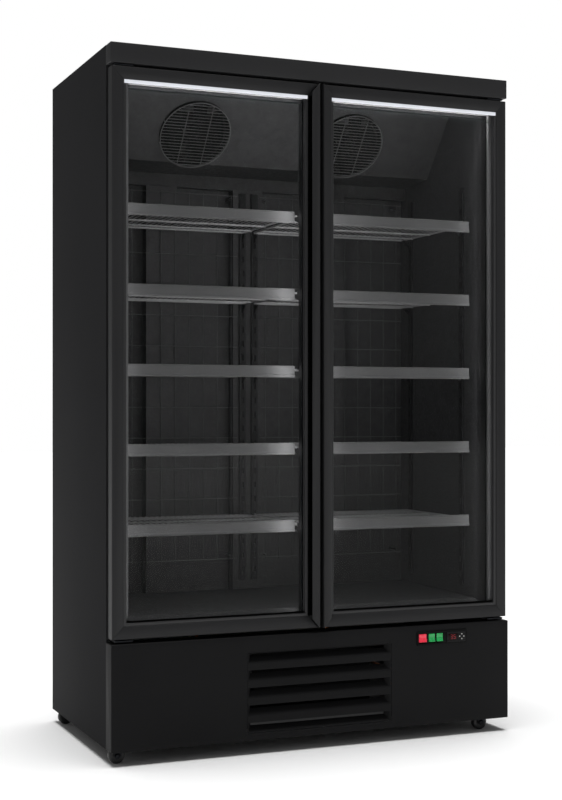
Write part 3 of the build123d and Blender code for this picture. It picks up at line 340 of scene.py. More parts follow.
class Shape:
    """A mesh in the making, in millimetres."""

    def __init__(self) -> None:
        """Start an empty mesh."""
        self.bm = bmesh.new()

    def soften(self, edges: Sequence[bmesh.types.BMEdge], width: float, segments: int = 2) -> None:
        """Round the given edges.

        Args:
            edges: The edges.
            width: Radius of the rounding.
            segments: Steps across it.
        """
        if width > 0 and edges:
            bmesh.ops.bevel(self.bm, geom=list(edges), offset=width, offset_type="OFFSET", segments=segments,
                            profile=0.5, affect="EDGES", material=-1, clamp_overlap=True)

    def sharp_edges(self, edges: Iterable[bmesh.types.BMEdge],
                    limit: float = 0.6) -> list[bmesh.types.BMEdge]:
        """Pick the edges where two faces meet at more than the limit in radians."""
        self.bm.normal_update()
        return [e for e in edges if e.is_valid and len(e.link_faces) == 2 and e.calc_face_angle(0) > limit]

    def block(self, x: Range, y: Range, z: Range, soft: float = 0.6, segments: int = 2) -> "Shape":
        """Add a rounded block between two corners.

        Args:
            x: Lowest and highest x.
            y: Lowest and highest y.
            z: Lowest and highest z.
            soft: Radius of its edges.
            segments: Steps across a rounded edge.

        Returns:
            This shape.
        """
        size = [high - low for low, high in (x, y, z)]
        middle = [(high + low) / 2 for low, high in (x, y, z)]
        matrix = Matrix.Translation(middle) @ Matrix.Diagonal((*size, 1))
        made = bmesh.ops.create_cube(self.bm, size=1, matrix=matrix)
        edges = {e for v in made["verts"] for e in v.link_edges}
        self.soften(sorted(edges, key=lambda e: e.index), min(soft, 0.45 * min(size)), segments)
        return self

    def profile(self, axis: Axis, outline: Sequence[Flat], span: Range,
                rounds: Optional[dict[int, float]] = None, ends: float = 0.0,
                cuts: Sequence[tuple[Point, Point]] = ()) -> "Shape":
        """Draw an outline along an axis, round its corners and cut its ends.

        Args:
            axis: The direction it is drawn along.
            outline: The outline's points, the other two coordinates in order.
            span: Where it starts and stops along the axis.
            rounds: Radius of each rounded corner by its place in the outline.
            ends: Radius of the edges round the two ends.
            cuts: Planes as (point, outward normal); what lies outside is cut away.

        Returns:
            This shape.
        """
        part = bmesh.new()
        points = []
        for a, b in outline:
            point = [a, b]
            point.insert(axis.value, span[0])
            points.append(part.verts.new(point))
        loop = [part.edges.new(pair) for pair in zip(points, points[1:] + points[:1])]
        bmesh.ops.edgeloop_fill(part, edges=loop)
        for index, radius in sorted((rounds or {}).items()):
            bmesh.ops.bevel(part, geom=[points[index]], offset=radius * CORNER_SHARE, offset_type="OFFSET",
                            segments=3, profile=0.5, affect="VERTICES", material=-1)
        drawn = bmesh.ops.extrude_face_region(part, geom=list(part.faces))
        move = [0.0, 0.0, 0.0]
        move[axis.value] = span[1] - span[0]
        moved = [v for v in drawn["geom"] if isinstance(v, bmesh.types.BMVert)]
        bmesh.ops.translate(part, verts=moved, vec=move)
        for point, normal in cuts:
            geometry = list(part.verts) + list(part.edges) + list(part.faces)
            bmesh.ops.bisect_plane(part, geom=geometry, plane_co=point, plane_no=normal, clear_outer=True)
            open_edges = [e for e in part.edges if len(e.link_faces) == 1]
            bmesh.ops.edgeloop_fill(part, edges=open_edges)
        bmesh.ops.recalc_face_normals(part, faces=part.faces)
        if ends > 0:
            part.normal_update()
            caps = sorted(part.faces, key=lambda f: -len(f.verts))[:2]
            rim = {e for f in caps for e in f.edges}
            bmesh.ops.bevel(part, geom=sorted(rim, key=lambda e: e.index), offset=ends, offset_type="OFFSET",
                            segments=1, profile=0.5, affect="EDGES", material=-1, clamp_overlap=True)
        self.take(part)
        return self

    def take(self, part: bmesh.types.BMesh) -> None:
        """Add another mesh to this one and free it.

        Args:
            part: The other mesh.
        """
        held = bpy.data.meshes.new("held")
        part.to_mesh(held)
        part.free()
        self.bm.from_mesh(held)
        bpy.data.meshes.remove(held)

    def rod(self, start: Point, end: Point, radius: float, sides: int = 12, soft: float = 0.0) -> "Shape":
        """Add a round bar between two points, with closed ends.

        Args:
            start: Centre of one end.
            end: Centre of the other.
            radius: Radius of the bar.
            sides: Faces round it.
            soft: Radius of the edges round its ends.

        Returns:
            This shape.
        """
        a, b = Vector(start), Vector(end)
        turn = (b - a).to_track_quat("Z", "Y").to_matrix().to_4x4()
        matrix = Matrix.Translation((a + b) / 2) @ turn
        made = bmesh.ops.create_cone(self.bm, cap_ends=True, segments=sides, radius1=radius, radius2=radius,
                                     depth=(b - a).length, matrix=matrix)
        if soft > 0:
            edges = {e for v in made["verts"] for e in v.link_edges}
            self.soften(self.sharp_edges(edges, 1.2), soft)
        return self

    def turned(self, line: Sequence[Flat], matrix: Matrix, steps: int = 48) -> "Shape":
        """Turn a line of (radius, height) points about Z, then place it.

        Args:
            line: The points; a radius of zero closes a pole.
            matrix: Where the turned part goes.
            steps: Steps in the full turn.

        Returns:
            This shape.
        """
        part = bmesh.new()
        points = [part.verts.new((r, 0, h)) for r, h in line]
        for a, b in zip(points, points[1:]):
            part.edges.new((a, b))
        bmesh.ops.spin(part, geom=list(part.verts) + list(part.edges), cent=(0, 0, 0), axis=(0, 0, 1),
                       angle=2 * pi, steps=steps, use_merge=True)
        bmesh.ops.remove_doubles(part, verts=part.verts, dist=POLE_MERGE)
        bmesh.ops.recalc_face_normals(part, faces=part.faces)
        bmesh.ops.transform(part, matrix=matrix, verts=part.verts)
        self.take(part)
        return self

    def ring(self, radius: float, wire: float, matrix: Matrix, steps: int = 72, sides: int = 8) -> "Shape":
        """Add a wire ring about the Z of its placement.

        Args:
            radius: Radius to the middle of the wire.
            wire: Radius of the wire.
            matrix: Where the ring goes.
            steps: Steps in the full turn.
            sides: Faces round the wire.

        Returns:
            This shape.
        """
        turns = [2 * pi * i / sides for i in range(sides)]
        section = [(radius + wire * cos(turn), wire * sin(turn)) for turn in turns]
        return self.turned(section + section[:1], matrix, steps)

    @staticmethod
    def is_flat(face: bmesh.types.BMFace, length: float = 40.0, width: float = 4.0) -> bool:
        """Tell a broad flat of a panel or profile from a step of something rounded.

        Args:
            face: The face, in millimetres.
            length: What its longest edge has to pass.
            width: What its mean width has to pass.

        Returns:
            Whether it is a broad flat.
        """
        longest = max(edge.calc_length() for edge in face.edges)
        return longest > length and face.calc_area() / longest > width

    def moved(self, matrix: Matrix) -> "Shape":
        """Place everything made so far."""
        bmesh.ops.transform(self.bm, matrix=matrix, verts=self.bm.verts)
        return self

    def placed(self, name: str, body: str, finish: Finish, nodes: Sequence[str] = (), side: int = -1,
               closed: bool = True) -> bpy.types.Object:
        """Finish the mesh as one piece of the object.

        Args:
            name: The piece's name.
            body: The CAD body it rides on.
            finish: Its finish.
            nodes: The CAD nodes it stands for.
            side: 1 mirrors it to the right-hand side.
            closed: Whether its shells are closed, so that their normals can be worked out.

        Returns:
            The piece.
        """
        if side > 0:
            bmesh.ops.scale(self.bm, vec=(-1, 1, 1), verts=self.bm.verts)
            bmesh.ops.reverse_faces(self.bm, faces=self.bm.faces)
        bmesh.ops.remove_doubles(self.bm, verts=self.bm.verts, dist=MERGE)
        if closed:
            bmesh.ops.recalc_face_normals(self.bm, faces=self.bm.faces)
        for face in self.bm.faces:
            face.smooth = not self.is_flat(face)
        bmesh.ops.scale(self.bm, vec=(MM, MM, MM), verts=self.bm.verts)
        mesh = bpy.data.meshes.new(name)
        self.bm.to_mesh(mesh)
        self.bm.free()
        mesh.set_sharp_from_angle(angle=SHARP_ANGLE)
        mesh.materials.append(finish.material())
        piece = bpy.data.objects.new(name, mesh)
        bpy.context.scene.collection.objects.link(piece)
        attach(piece, body)
        if nodes:
            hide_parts(*nodes)
        LOG.info("%s on %s, %d faces", name, body, len(mesh.polygons))
        return piece


def rectangle(bm: bmesh.types.BMesh, x: Range, y: float, z: Range) -> list[bmesh.types.BMVert]:
    """Add the four corners of an upright rectangle, in order round it.

    Args:
        bm: The mesh that they go into.
        x: Its lowest and highest x.
        y: The y of its plane.
        z: Its lowest and highest z.

    Returns:
        The corners.
    """
    return [bm.verts.new((a, y, b)) for a, b in ((x[0], z[0]), (x[1], z[0]), (x[1], z[1]), (x[0], z[1]))]


def faces_on(bm: bmesh.types.BMesh, axis: Axis, level: float) -> list[bmesh.types.BMFace]:
    """Find the faces that lie in a plane square to an axis.

    Args:
        bm: The mesh.
        axis: The axis.
        level: Where the plane crosses it.

    Returns:
        The faces.
    """
    return [f for f in bm.faces if all(abs(v.co[axis.value] - level) < TOUCH for v in f.verts)]


def folded_pan(x: Range, y: Range, z: Range, sheet: float, fold: float,
               holes: Sequence[tuple[Range, Range]] = (), lip: float = 0.0) -> Shape:
    """Fold a front panel with its four returns from one sheet, and punch its openings.

    Args:
        x: Width of the panel.
        y: Its front face and the back of its returns.
        z: Height of the panel.
        sheet: Thickness of the sheet.
        fold: Outer radius of the folds.
        holes: Openings as (x range, z range).
        lip: Depth of a short lower return, or 0 for one as deep as the others.

    Returns:
        The pan.
    """
    shape = Shape()
    bm = shape.bm
    bmesh.ops.contextual_create(bm, geom=rectangle(bm, x, y[0], z))
    rim = bmesh.ops.extrude_edge_only(bm, edges=list(bm.edges))
    back = [v for v in rim["geom"] if isinstance(v, bmesh.types.BMVert)]
    bmesh.ops.translate(bm, verts=back, vec=(0, y[1] - y[0], 0))
    bmesh.ops.recalc_face_normals(bm, faces=bm.faces)
    if faces_on(bm, Axis.Y, y[0])[0].normal.y > 0:
        bmesh.ops.reverse_faces(bm, faces=list(bm.faces))
    if lip:
        low = faces_on(bm, Axis.Z, z[0])[0]
        bmesh.ops.bisect_plane(bm, geom=[low, *low.edges, *low.verts], plane_co=(0, y[0] + lip, 0),
                               plane_no=(0, 1, 0))
        behind = [f for f in faces_on(bm, Axis.Z, z[0]) if f.calc_center_median().y > y[0] + lip]
        bmesh.ops.delete(bm, geom=behind, context="FACES")
    shape.soften(shape.sharp_edges(list(bm.edges)), fold, 3)
    for hole_x, hole_z in holes:
        for point, normal in (((hole_x[0], 0, 0), (1, 0, 0)), ((hole_x[1], 0, 0), (1, 0, 0)),
                              ((0, 0, hole_z[0]), (0, 0, 1)), ((0, 0, hole_z[1]), (0, 0, 1))):
            flat = faces_on(bm, Axis.Y, y[0])
            corners = {v for f in flat for v in f.verts}
            sides = {e for f in flat for e in f.edges}
            bmesh.ops.bisect_plane(bm, geom=[*corners, *sides, *flat], plane_co=point, plane_no=normal)
        middles = [(f, f.calc_center_median()) for f in faces_on(bm, Axis.Y, y[0])]
        inside = [f for f, mid in middles if hole_x[0] < mid.x < hole_x[1] and hole_z[0] < mid.z < hole_z[1]]
        bmesh.ops.delete(bm, geom=inside, context="FACES")
    bmesh.ops.solidify(bm, geom=list(bm.faces), thickness=sheet)
    return shape


# ---------------------------------------------------------------- cabinet shell
@dataclass
class CabinetShell:
    """Folded steel skins: sides, canopy, lower panel and its louvred grille."""

    skin: float = 1.2
    rear_fold: float = 14.0
    sheet: float = 1.5
    fold: float = 2.2
    lip: float = 5.5
    louvres: int = 5
    pitch: float = 50.0
    slot: float = 11.0
    depth: float = 19.0
    end_slant: float = 13.0
    grille_gap: float = 1.0
    grille_inset: float = 0.4
    grille_sheet: float = 1.2
    cheek: float = 2.5
    bezel_edge: float = 3.2

    def build(self) -> None:
        """Build every skin."""
        for side, word in ((-1, "left"), (1, "right")):
            self.side_panel(side, word)
        self.canopy()
        self.lower_panel()
        self.grille()

    def side_panel(self, side: int, word: str) -> None:
        """Build one side skin with its rear fold.

        Args:
            side: -1 for the left, 1 for the right.
            word: The same in words.
        """
        at = Extent.of("side_panel_left")
        x, t, back = at.x[0], self.skin, at.y[1]
        outline = [(x, at.y[0]), (x, back), (x + self.rear_fold, back), (x + self.rear_fold, back - t),
                   (x + t, back - t), (x + t, at.y[0])]
        shape = Shape().profile(Axis.Z, outline, at.z, rounds={0: 0.8, 1: 3.0}, ends=0.3)
        # The side skin takes the darker copy of the powder: painted shade on the side.
        shape.placed("side_skin_" + word, "cabinet", SIDE_SHADE_COAT, ["side_panel_" + word], side)

    def canopy(self) -> None:
        """The folded canopy over the doors."""
        at = Extent.of("header_fascia")
        pan = folded_pan(at.x, at.y, at.z, self.sheet, self.fold)
        pan.placed("canopy", "cabinet", POWDER_COAT, ["header_fascia"], closed=False)

    def lower_panel(self) -> None:
        """The lower front cover with its two openings."""
        at, grille, bezel = Extent.of("kick_panel"), Extent.of("louvre_grille"), Extent.of("control_bezel")
        edge = self.bezel_edge
        bezel_hole = ((bezel.x[0] + edge, bezel.x[1] - edge), (bezel.z[0] + edge, bezel.z[1] - edge))
        holes = [(grille.x, grille.z), bezel_hole]
        pan = folded_pan(at.x, at.y, at.z, self.sheet, self.fold, holes, self.lip)
        # The lower panel takes the darker copy of the powder: painted shade.
        pan.placed("lower_panel", "cabinet", LOWER_PANEL_SHADE_COAT, ["kick_panel"], closed=False)

    def grille(self) -> None:
        """Pressed louvres: each pocket slopes in and up to the air slot behind the louvre above it."""
        at, gap, cheek = Extent.of("louvre_grille"), self.grille_gap, self.cheek
        x = (at.x[0] + gap, at.x[1] - gap)
        z = (at.z[0] + gap, at.z[1] - gap)
        shape = Shape()
        bm = shape.bm
        front, rear = at.y[0] + self.grille_inset, at.y[1]
        bmesh.ops.contextual_create(bm, geom=rectangle(bm, x, front, z))
        pockets = []
        for index in range(self.louvres):
            top = at.z[1] - index * self.pitch - (gap + 1.5 if index == 0 else 0)
            ridge = max(at.z[1] - index * self.pitch - self.slot - self.depth, z[0] + 1.0)
            pockets.append((ridge, top))
            for level in (ridge, top):
                bmesh.ops.bisect_plane(bm, geom=[*bm.verts, *bm.edges, *bm.faces], plane_co=(0, 0, level),
                                       plane_no=(0, 0, 1))
        for edge_x in (x[0] + cheek, x[1] - cheek):
            bmesh.ops.bisect_plane(bm, geom=[*bm.verts, *bm.edges, *bm.faces], plane_co=(edge_x, 0, 0),
                                   plane_no=(1, 0, 0))
        bm.normal_update()
        if next(iter(bm.faces)).normal.y > 0:
            bmesh.ops.reverse_faces(bm, faces=list(bm.faces))
        for ridge, top in pockets:
            middles = [(f, f.calc_center_median()) for f in faces_on(bm, Axis.Y, front)]
            opening = [f for f, mid in middles if ridge < mid.z < top and x[0] + cheek < mid.x < x[1] - cheek]
            pressed = bmesh.ops.extrude_face_region(bm, geom=opening)
            inner = [v for v in pressed["geom"] if isinstance(v, bmesh.types.BMVert)]
            bmesh.ops.delete(bm, geom=opening, context="FACES_ONLY")
            bmesh.ops.translate(bm, verts=inner, vec=(0, rear - front, 0))
            low = [v for v in inner if v.co.z < (ridge + top) / 2]
            bmesh.ops.translate(bm, verts=low, vec=(0, 0, top - self.slot - ridge))
            for end, slant in ((-1, self.end_slant), (1, -self.end_slant)):
                verts = [v for v in inner if v.co.x * end > 0]
                bmesh.ops.translate(bm, verts=verts, vec=(slant, 0, 0))
            hole = [f for f in pressed["geom"] if isinstance(f, bmesh.types.BMFace)]
            bmesh.ops.delete(bm, geom=hole, context="FACES_ONLY")
        shape.soften(shape.sharp_edges(list(bm.edges), 0.3), 0.8, 2)
        bmesh.ops.solidify(bm, geom=list(bm.faces), thickness=self.grille_sheet)
        # The grille takes the same darker copy of the powder: painted shade.
        shape.placed("louvred_grille", "cabinet", LOWER_PANEL_SHADE_COAT, ["louvre_grille"], closed=False)


# ---------------------------------------------------------------- doors
@dataclass
class Door:
    """One glazed door: mitred profiles, beads, spacer, light bar and gasket round the CAD node's glass."""

    side: int
    word: str
    hinge_face: float = 33.0
    lock_face: float = 30.75
    top_face: float = 34.5
    bottom_face: float = 36.0
    bead: float = 11.0
    proud: float = 17.0
    lap: float = 10.0
    seam: float = 0.15
    spacer_show: float = 9.5
    pocket: Range = (12.0, 32.0)
    pull_width: float = 25.0
    pull_wall: float = 3.5
    pull_return: float = 4.0
    gasket_width: float = 16.0
    cap: float = 2.5

    def __post_init__(self) -> None:
        """Read the left door's place; the right one mirrors it."""
        at = Extent.of("door_frame_left")
        self.x, self.z = at.x, at.z
        self.face, self.back = at.y[0] + self.proud, at.y[1]
        self.clear_x = (at.x[0] + self.hinge_face, at.x[1] - self.lock_face)
        self.clear_z = (at.z[0] + self.bottom_face, at.z[1] - self.top_face)
        self.body = "door_" + self.word
        self.frame_node = "door_frame_" + self.word

    def build(self) -> None:
        """Build the whole door."""
        self.profiles()
        self.beads()
        self.spacer()
        self.lamp()
        self.gasket()

    def mitre(self, corner: tuple[int, int], outward: Point, inner: float = 0.0) -> tuple[Point, Point]:
        """Work out the cut through one corner of the door.

        Args:
            corner: Which end of x and which end of z, as 0 or 1.
            outward: Roughly where the removed side lies.
            inner: How far inside the frame's clear edge the cut's second point lies.

        Returns:
            A point on the cut and its outward normal.
        """
        i, j = corner
        a = Vector((self.x[i], 0, self.z[j]))
        b = Vector((self.clear_x[i], 0, self.clear_z[j]))
        if inner:
            a = b.copy()
            b = a + Vector((inner if i == 0 else -inner, 0, inner if j == 0 else -inner))
        normal = (b - a).cross(Vector((0, 1, 0))).normalized()
        if normal.dot(Vector(outward)) < 0:
            normal = -normal
        return tuple(a - normal * self.seam), tuple(normal)

    def stile_cuts(self, i: int, inner: float = 0.0) -> list[tuple[Point, Point]]:
        """Give both end cuts of the upright at one side."""
        return [self.mitre((i, 0), (0, 0, -1), inner), self.mitre((i, 1), (0, 0, 1), inner)]

    def rail_cuts(self, j: int, inner: float = 0.0) -> list[tuple[Point, Point]]:
        """Give both end cuts of the level profile at one end."""
        return [self.mitre((0, j), (-1, 0, 0), inner), self.mitre((1, j), (1, 0, 0), inner)]

    def profiles(self) -> None:
        """The four anodised profiles; the lock stile folds forward into the pull."""
        f, back, lap = self.face, self.back, self.lap
        pocket = (f + self.pocket[0], f + self.pocket[1])
        x0, cx = self.x[0], self.clear_x[0]
        hinge = [(x0, f), (cx, f), (cx, pocket[0]), (cx - lap, pocket[0]), (cx - lap, pocket[1]),
                 (cx, pocket[1]), (cx, back), (x0, back)]
        Shape().profile(Axis.Z, hinge, self.z, rounds={0: 3.0, 1: 1.4, 6: 1.2, 7: 1.2}, ends=0.3,
                        cuts=self.stile_cuts(0)).placed(
            self.body + "_hinge_stile", self.body, ANODISED, [self.frame_node], self.side)
        x1, cl = self.x[1], self.clear_x[1]
        lip, wall = x1 - self.pull_width, x1 - self.pull_return
        front, under, floor = f - self.proud, f - self.proud + self.pull_wall, f + 10.0
        lock = [(lip, front), (x1, front), (x1, back), (cl, back), (cl, pocket[1]), (cl + lap, pocket[1]),
                (cl + lap, pocket[0]), (cl, pocket[0]), (cl, floor), (wall, floor), (wall, under),
                (lip, under)]
        rounds = {0: 2.0, 1: 3.6, 2: 1.2, 3: 1.2, 8: 0.8, 11: 1.6}
        Shape().profile(Axis.Z, lock, self.z, rounds, ends=0.3, cuts=self.stile_cuts(1)).placed(
            self.body + "_pull_stile", self.body, ANODISED, [self.frame_node], self.side)
        # A near-black strip lining the pull's groove: painted shade for the shadowed channel.
        groove = [(cl + 0.2, floor - 0.8), (wall - 0.9, floor - 0.8), (wall - 0.9, under + 0.2),
                  (wall - 0.1, under + 0.2), (wall - 0.1, floor - 0.1), (cl + 0.2, floor - 0.1)]
        Shape().profile(Axis.Z, groove, self.clear_z).placed(
            self.body + "_groove_strip", self.body, SHADE_BLACK, [self.frame_node], self.side)
        for j, word in ((0, "bottom"), (1, "top")):
            z0, cz = self.z[j], self.clear_z[j]
            step = lap if j else -lap
            rail = [(f, z0), (f, cz), (pocket[0], cz), (pocket[0], cz + step), (pocket[1], cz + step),
                    (pocket[1], cz), (back, cz), (back, z0)]
            Shape().profile(Axis.X, rail, self.x, rounds={0: 3.0, 1: 1.4, 6: 1.2, 7: 1.2}, ends=0.3,
                            cuts=self.rail_cuts(j)).placed(
                self.body + "_" + word + "_rail", self.body, ANODISED, [self.frame_node], self.side)

    def beads(self) -> None:
        """Snap-in glazing beads with a soft lip on the glass."""
        f, w = self.face, self.bead
        lamp = Extent.of("door_lamp_left")
        line = [(0.3, 12.0), (0.3, 1.6), (w - 3.4, 1.6), (w - 2.0, 3.4), (w - 1.9, 9.6), (w, 10.4), (w, 12.0)]
        rounds = {1: 0.8, 2: 1.6, 3: 1.0, 5: 0.6}
        z = (self.clear_z[0], lamp.z[0] - 0.3)
        for i, word in ((0, "hinge"), (1, "pull")):
            edge, sign = self.clear_x[i], 1 if i == 0 else -1
            outline = [(edge + sign * a, f + b) for a, b in line]
            Shape().profile(Axis.Z, outline, z, rounds=rounds, cuts=self.stile_cuts(i, w)[:1]).placed(
                f"{self.body}_{word}_bead", self.body, BEAD, [self.frame_node], self.side)
        outline = [(f + b, self.clear_z[0] + a) for a, b in line]
        Shape().profile(Axis.X, outline, self.clear_x, rounds=rounds, cuts=self.rail_cuts(0, w)).placed(
            self.body + "_bottom_bead", self.body, BEAD, [self.frame_node], self.side)
        # The bottom bead's glazing wedge, drawn near-black as painted shade along the bead's top edge.
        Shape().block((self.clear_x[0] + w, self.clear_x[1] - w), (f + 2.2, f + 11.8),
                      (self.clear_z[0] + w + 0.1, self.clear_z[0] + w + 2.4), 0.6).placed(
            self.body + "_bottom_wedge", self.body, SHADE_BLACK, [self.frame_node], self.side)
        Shape().block((self.clear_x[0] + 0.3, self.clear_x[1] - 0.3), (lamp.y[1] + 0.1, f + 12.0),
                      (self.clear_z[1] - w, self.clear_z[1] - 0.3), 0.8).placed(
            self.body + "_top_bead", self.body, BEAD, [self.frame_node], self.side)

    def spacer(self) -> None:
        """The spacer tube round the edge of the double glazing, which shows most beside the hinges."""
        y = (self.face + 16.2, self.face + 27.8)
        x = (self.clear_x[0] - self.lap + 0.5, self.clear_x[1] + self.lap - 0.5)
        z = (self.clear_z[0] - self.lap + 0.5, self.clear_z[1] + self.lap - 0.5)
        w = self.lap + self.bead - 2.5
        shape = Shape()
        for a, b in ((x[0], x[0] + w + self.spacer_show), (x[1] - w, x[1])):
            shape.block((a, b), y, z, 1.0)
        for a, b in ((z[0], z[0] + w), (z[1] - w, z[1])):
            shape.block((x[0] + w, x[1] - w), y, (a, b), 1.0)
        shape.placed(self.body + "_glazing_spacer", self.body, SPACER, [self.frame_node], self.side)

    def lamp(self) -> None:
        """The light bar: an opal diffuser between two end caps."""
        at, cap = Extent.of("door_lamp_left"), self.cap
        y0, y1, z0, z1 = at.y[0], at.y[1], at.z[0], at.z[1]
        low, high, chamfer = z0 + 2.0, z1 - 1.2, 1.2
        outline = [(y1, low), (y0 + chamfer, low), (y0, low + 1.6), (y0, high - 1.6), (y0 + chamfer, high),
                   (y1, high)]
        rounds = {1: 1.2, 2: 1.6, 3: 1.6, 4: 1.2}
        Shape().profile(Axis.X, outline, (at.x[0] + cap, at.x[1] - cap), rounds).placed(
            self.body + "_lamp_diffuser", self.body, OPAL, ["door_lamp_" + self.word], self.side)
        caps = Shape()
        for x in ((at.x[0] + 0.3, at.x[0] + cap), (at.x[1] - cap, at.x[1] - 0.3)):
            caps.block(x, (y0 + 0.1, y1), (z0 + 0.2, z1 - 0.2), 0.8)
        caps.placed(self.body + "_lamp_caps", self.body, RAIL, ["door_lamp_" + self.word], self.side)

    def gasket(self) -> None:
        """The magnet seal with its bellows."""
        at, w = Extent.of("door_gasket_left"), self.gasket_width
        y0, y1 = at.y
        line = [(0.0, y0), (0.4, y0 + 2.0), (1.8, y0 + 2.8), (0.6, y0 + 3.8), (1.6, y1), (w - 1.6, y1),
                (w - 0.6, y0 + 3.8), (w - 1.8, y0 + 2.8), (w - 0.4, y0 + 2.0), (w, y0)]
        rounds = {2: 0.8, 4: 1.2, 5: 1.2, 7: 0.8}
        shape = Shape()
        for i, sign in ((0, 1), (1, -1)):
            shape.profile(Axis.Z, [(at.x[i] + sign * a, b) for a, b in line], at.z, rounds)
            x = (at.x[0] + w, at.x[1] - w)
            shape.profile(Axis.X, [(b, at.z[i] + sign * a) for a, b in line], x, rounds)
        shape.placed(self.body + "_gasket", self.body, GASKET, ["door_gasket_" + self.word], self.side)


# ---------------------------------------------------------------- food compartment
@dataclass
class FanUnit:
    """Sloped fan opening in the evaporator cover: wire guard and the fan behind it."""

    slope: float = 50.66
    guard: float = 113.0
    wire: float = 1.2
    pitch: float = 10.2
    rows: int = 21
    lift: float = 14.2
    sink: float = 14.0
    centre: Point = (260.5, 38.1, 1833.0)
    mouth: float = 98.5
    blade: float = 90.0
    hub: float = 24.0
    rim: float = 1.6
    brace: float = 38.0
    brace_wire: float = 1.3
    foot: float = 14.0
    foot_wire: float = 1.8
    feet: tuple[int, ...] = (20, 160, 200, 340)
    condenser_blade: float = 103.0

    def face(self, x: float, offset: float) -> Matrix:
        """Find the place on the slope at a fan's centre, with Z pointing out of the cover.

        Args:
            x: The fan's x.
            offset: How far out of the slope.

        Returns:
            The placement.
        """
        a = radians(self.slope)
        normal = Vector((0, -sin(a), -cos(a)))
        across = Vector((1, 0, 0))
        up = normal.cross(across)
        turn = Matrix((across, up, normal)).transposed().to_4x4()
        return Matrix.Translation(Vector((x, self.centre[1], self.centre[2])) + normal * offset) @ turn

    def guards(self) -> None:
        """Both wire guards: ring, level wires, two braces and four feet."""
        shape = Shape()
        for x in (-self.centre[0], self.centre[0]):
            place = self.face(x, self.lift)
            shape.ring(self.guard - self.rim, self.rim, place)
            bars = []
            for index in range(self.rows):
                v = (index - (self.rows - 1) / 2) * self.pitch
                half = sqrt(max(self.guard ** 2 - v * v, 1.0)) - 1.5
                bars.append(((-half, v, 0), (half, v, 0), self.wire, 8))
            for u in (-self.brace, self.brace):
                half = sqrt(self.guard ** 2 - u * u) - 1.5
                bars.append(((u, -half, -1.8), (u, half, -1.8), self.brace_wire, 8))
            for turn in self.feet:
                u, v = (self.guard - 2) * cos(radians(turn)), (self.guard - 2) * sin(radians(turn))
                bars.append(((u, v, -self.foot), (u, v, 0.4), self.foot_wire, 12))
            for start, end, radius, sides in bars:
                shape.rod(tuple(place @ Vector(start)), tuple(place @ Vector(end)), radius, sides)
        shape.placed("fan_guards_wire", "cabinet", GUARD_WIRE, ["fan_guards"])
        rings = Shape()
        for x in (-self.centre[0], self.centre[0]):
            section = [(self.mouth, 0.1), (self.guard - 1, 0.1), (self.guard - 1, 1.6), (self.mouth + 4, 2.2),
                       (self.mouth, 1.0), (self.mouth, 0.1)]
            rings.turned(section, self.face(x, 0.0), 72)
        rings.placed("fan_mouth_rings", "cabinet", FAN_PLASTIC)

    def fans(self) -> None:
        """The two evaporator fans and the condenser fan."""
        for side, word in ((-1, "left"), (1, "right")):
            place = self.face(side * self.centre[0], -self.sink)
            axial_fan("evaporator_fan_" + word, place, self.blade, self.hub, 22.0, 24.0)
        at = Extent.of("condenser_fan")
        centre = [sum(r) / 2 for r in (at.x, at.y, at.z)]
        axis = Matrix.Translation(centre) @ Matrix.Rotation(radians(90), 4, "X")
        axial_fan("condenser_fan", axis, self.condenser_blade, 26.0, 24.0, 26.0)


def axial_fan(name: str, place: Matrix, radius: float, hub: float, height: float, pitch: float,
              blades: int = 5) -> None:
    """Model one moulded fan: a domed hub and its twisted blades.

    Args:
        name: The body and node that it stands for.
        place: Its axis, with Z towards the air it blows.
        radius: Tip radius.
        hub: Hub radius.
        height: Hub height.
        pitch: Blade angle at the hub in degrees.
        blades: How many blades it has.
    """
    shape = Shape()
    h = height / 2
    dome = [(2.6, -h), (hub - 1.5, -h), (hub, -h + 1.5), (hub, h - 5), (hub * 0.86, h - 1.6), (hub * 0.5, h),
            (2.6, h), (2.6, -h)]
    shape.turned(dome, Matrix.Identity(4), 40)
    for index in range(blades):
        part = bmesh.new()
        bmesh.ops.create_grid(part, x_segments=8, y_segments=6, size=0.5)
        for v in part.verts:
            out, along = v.co.x + 0.5, v.co.y * 2
            r = hub - 2 + out * (radius - hub + 1)
            half = radians(26 + 5 * sin(pi * out)) * (hub * 0.9 / r) ** 0.35
            sweep = along * half + 0.25 * out
            lean = radians(pitch) * (1.0 - 0.45 * out)
            v.co = Vector((r * cos(sweep), r * sin(sweep), r * sin(along * half) * sin(lean) * 0.62))
            if v.co.xy.length > radius:
                v.co.xy = v.co.xy.normalized() * radius
        bmesh.ops.recalc_face_normals(part, faces=part.faces)
        bmesh.ops.solidify(part, geom=list(part.faces), thickness=1.8)
        turn = Matrix.Rotation(index * 2 * pi / blades, 3, "Z")
        bmesh.ops.rotate(part, verts=part.verts, cent=(0, 0, 0), matrix=turn)
        shape.take(part)
    shape.moved(place).placed(name + "_rotor", name, FAN_PLASTIC, [name])


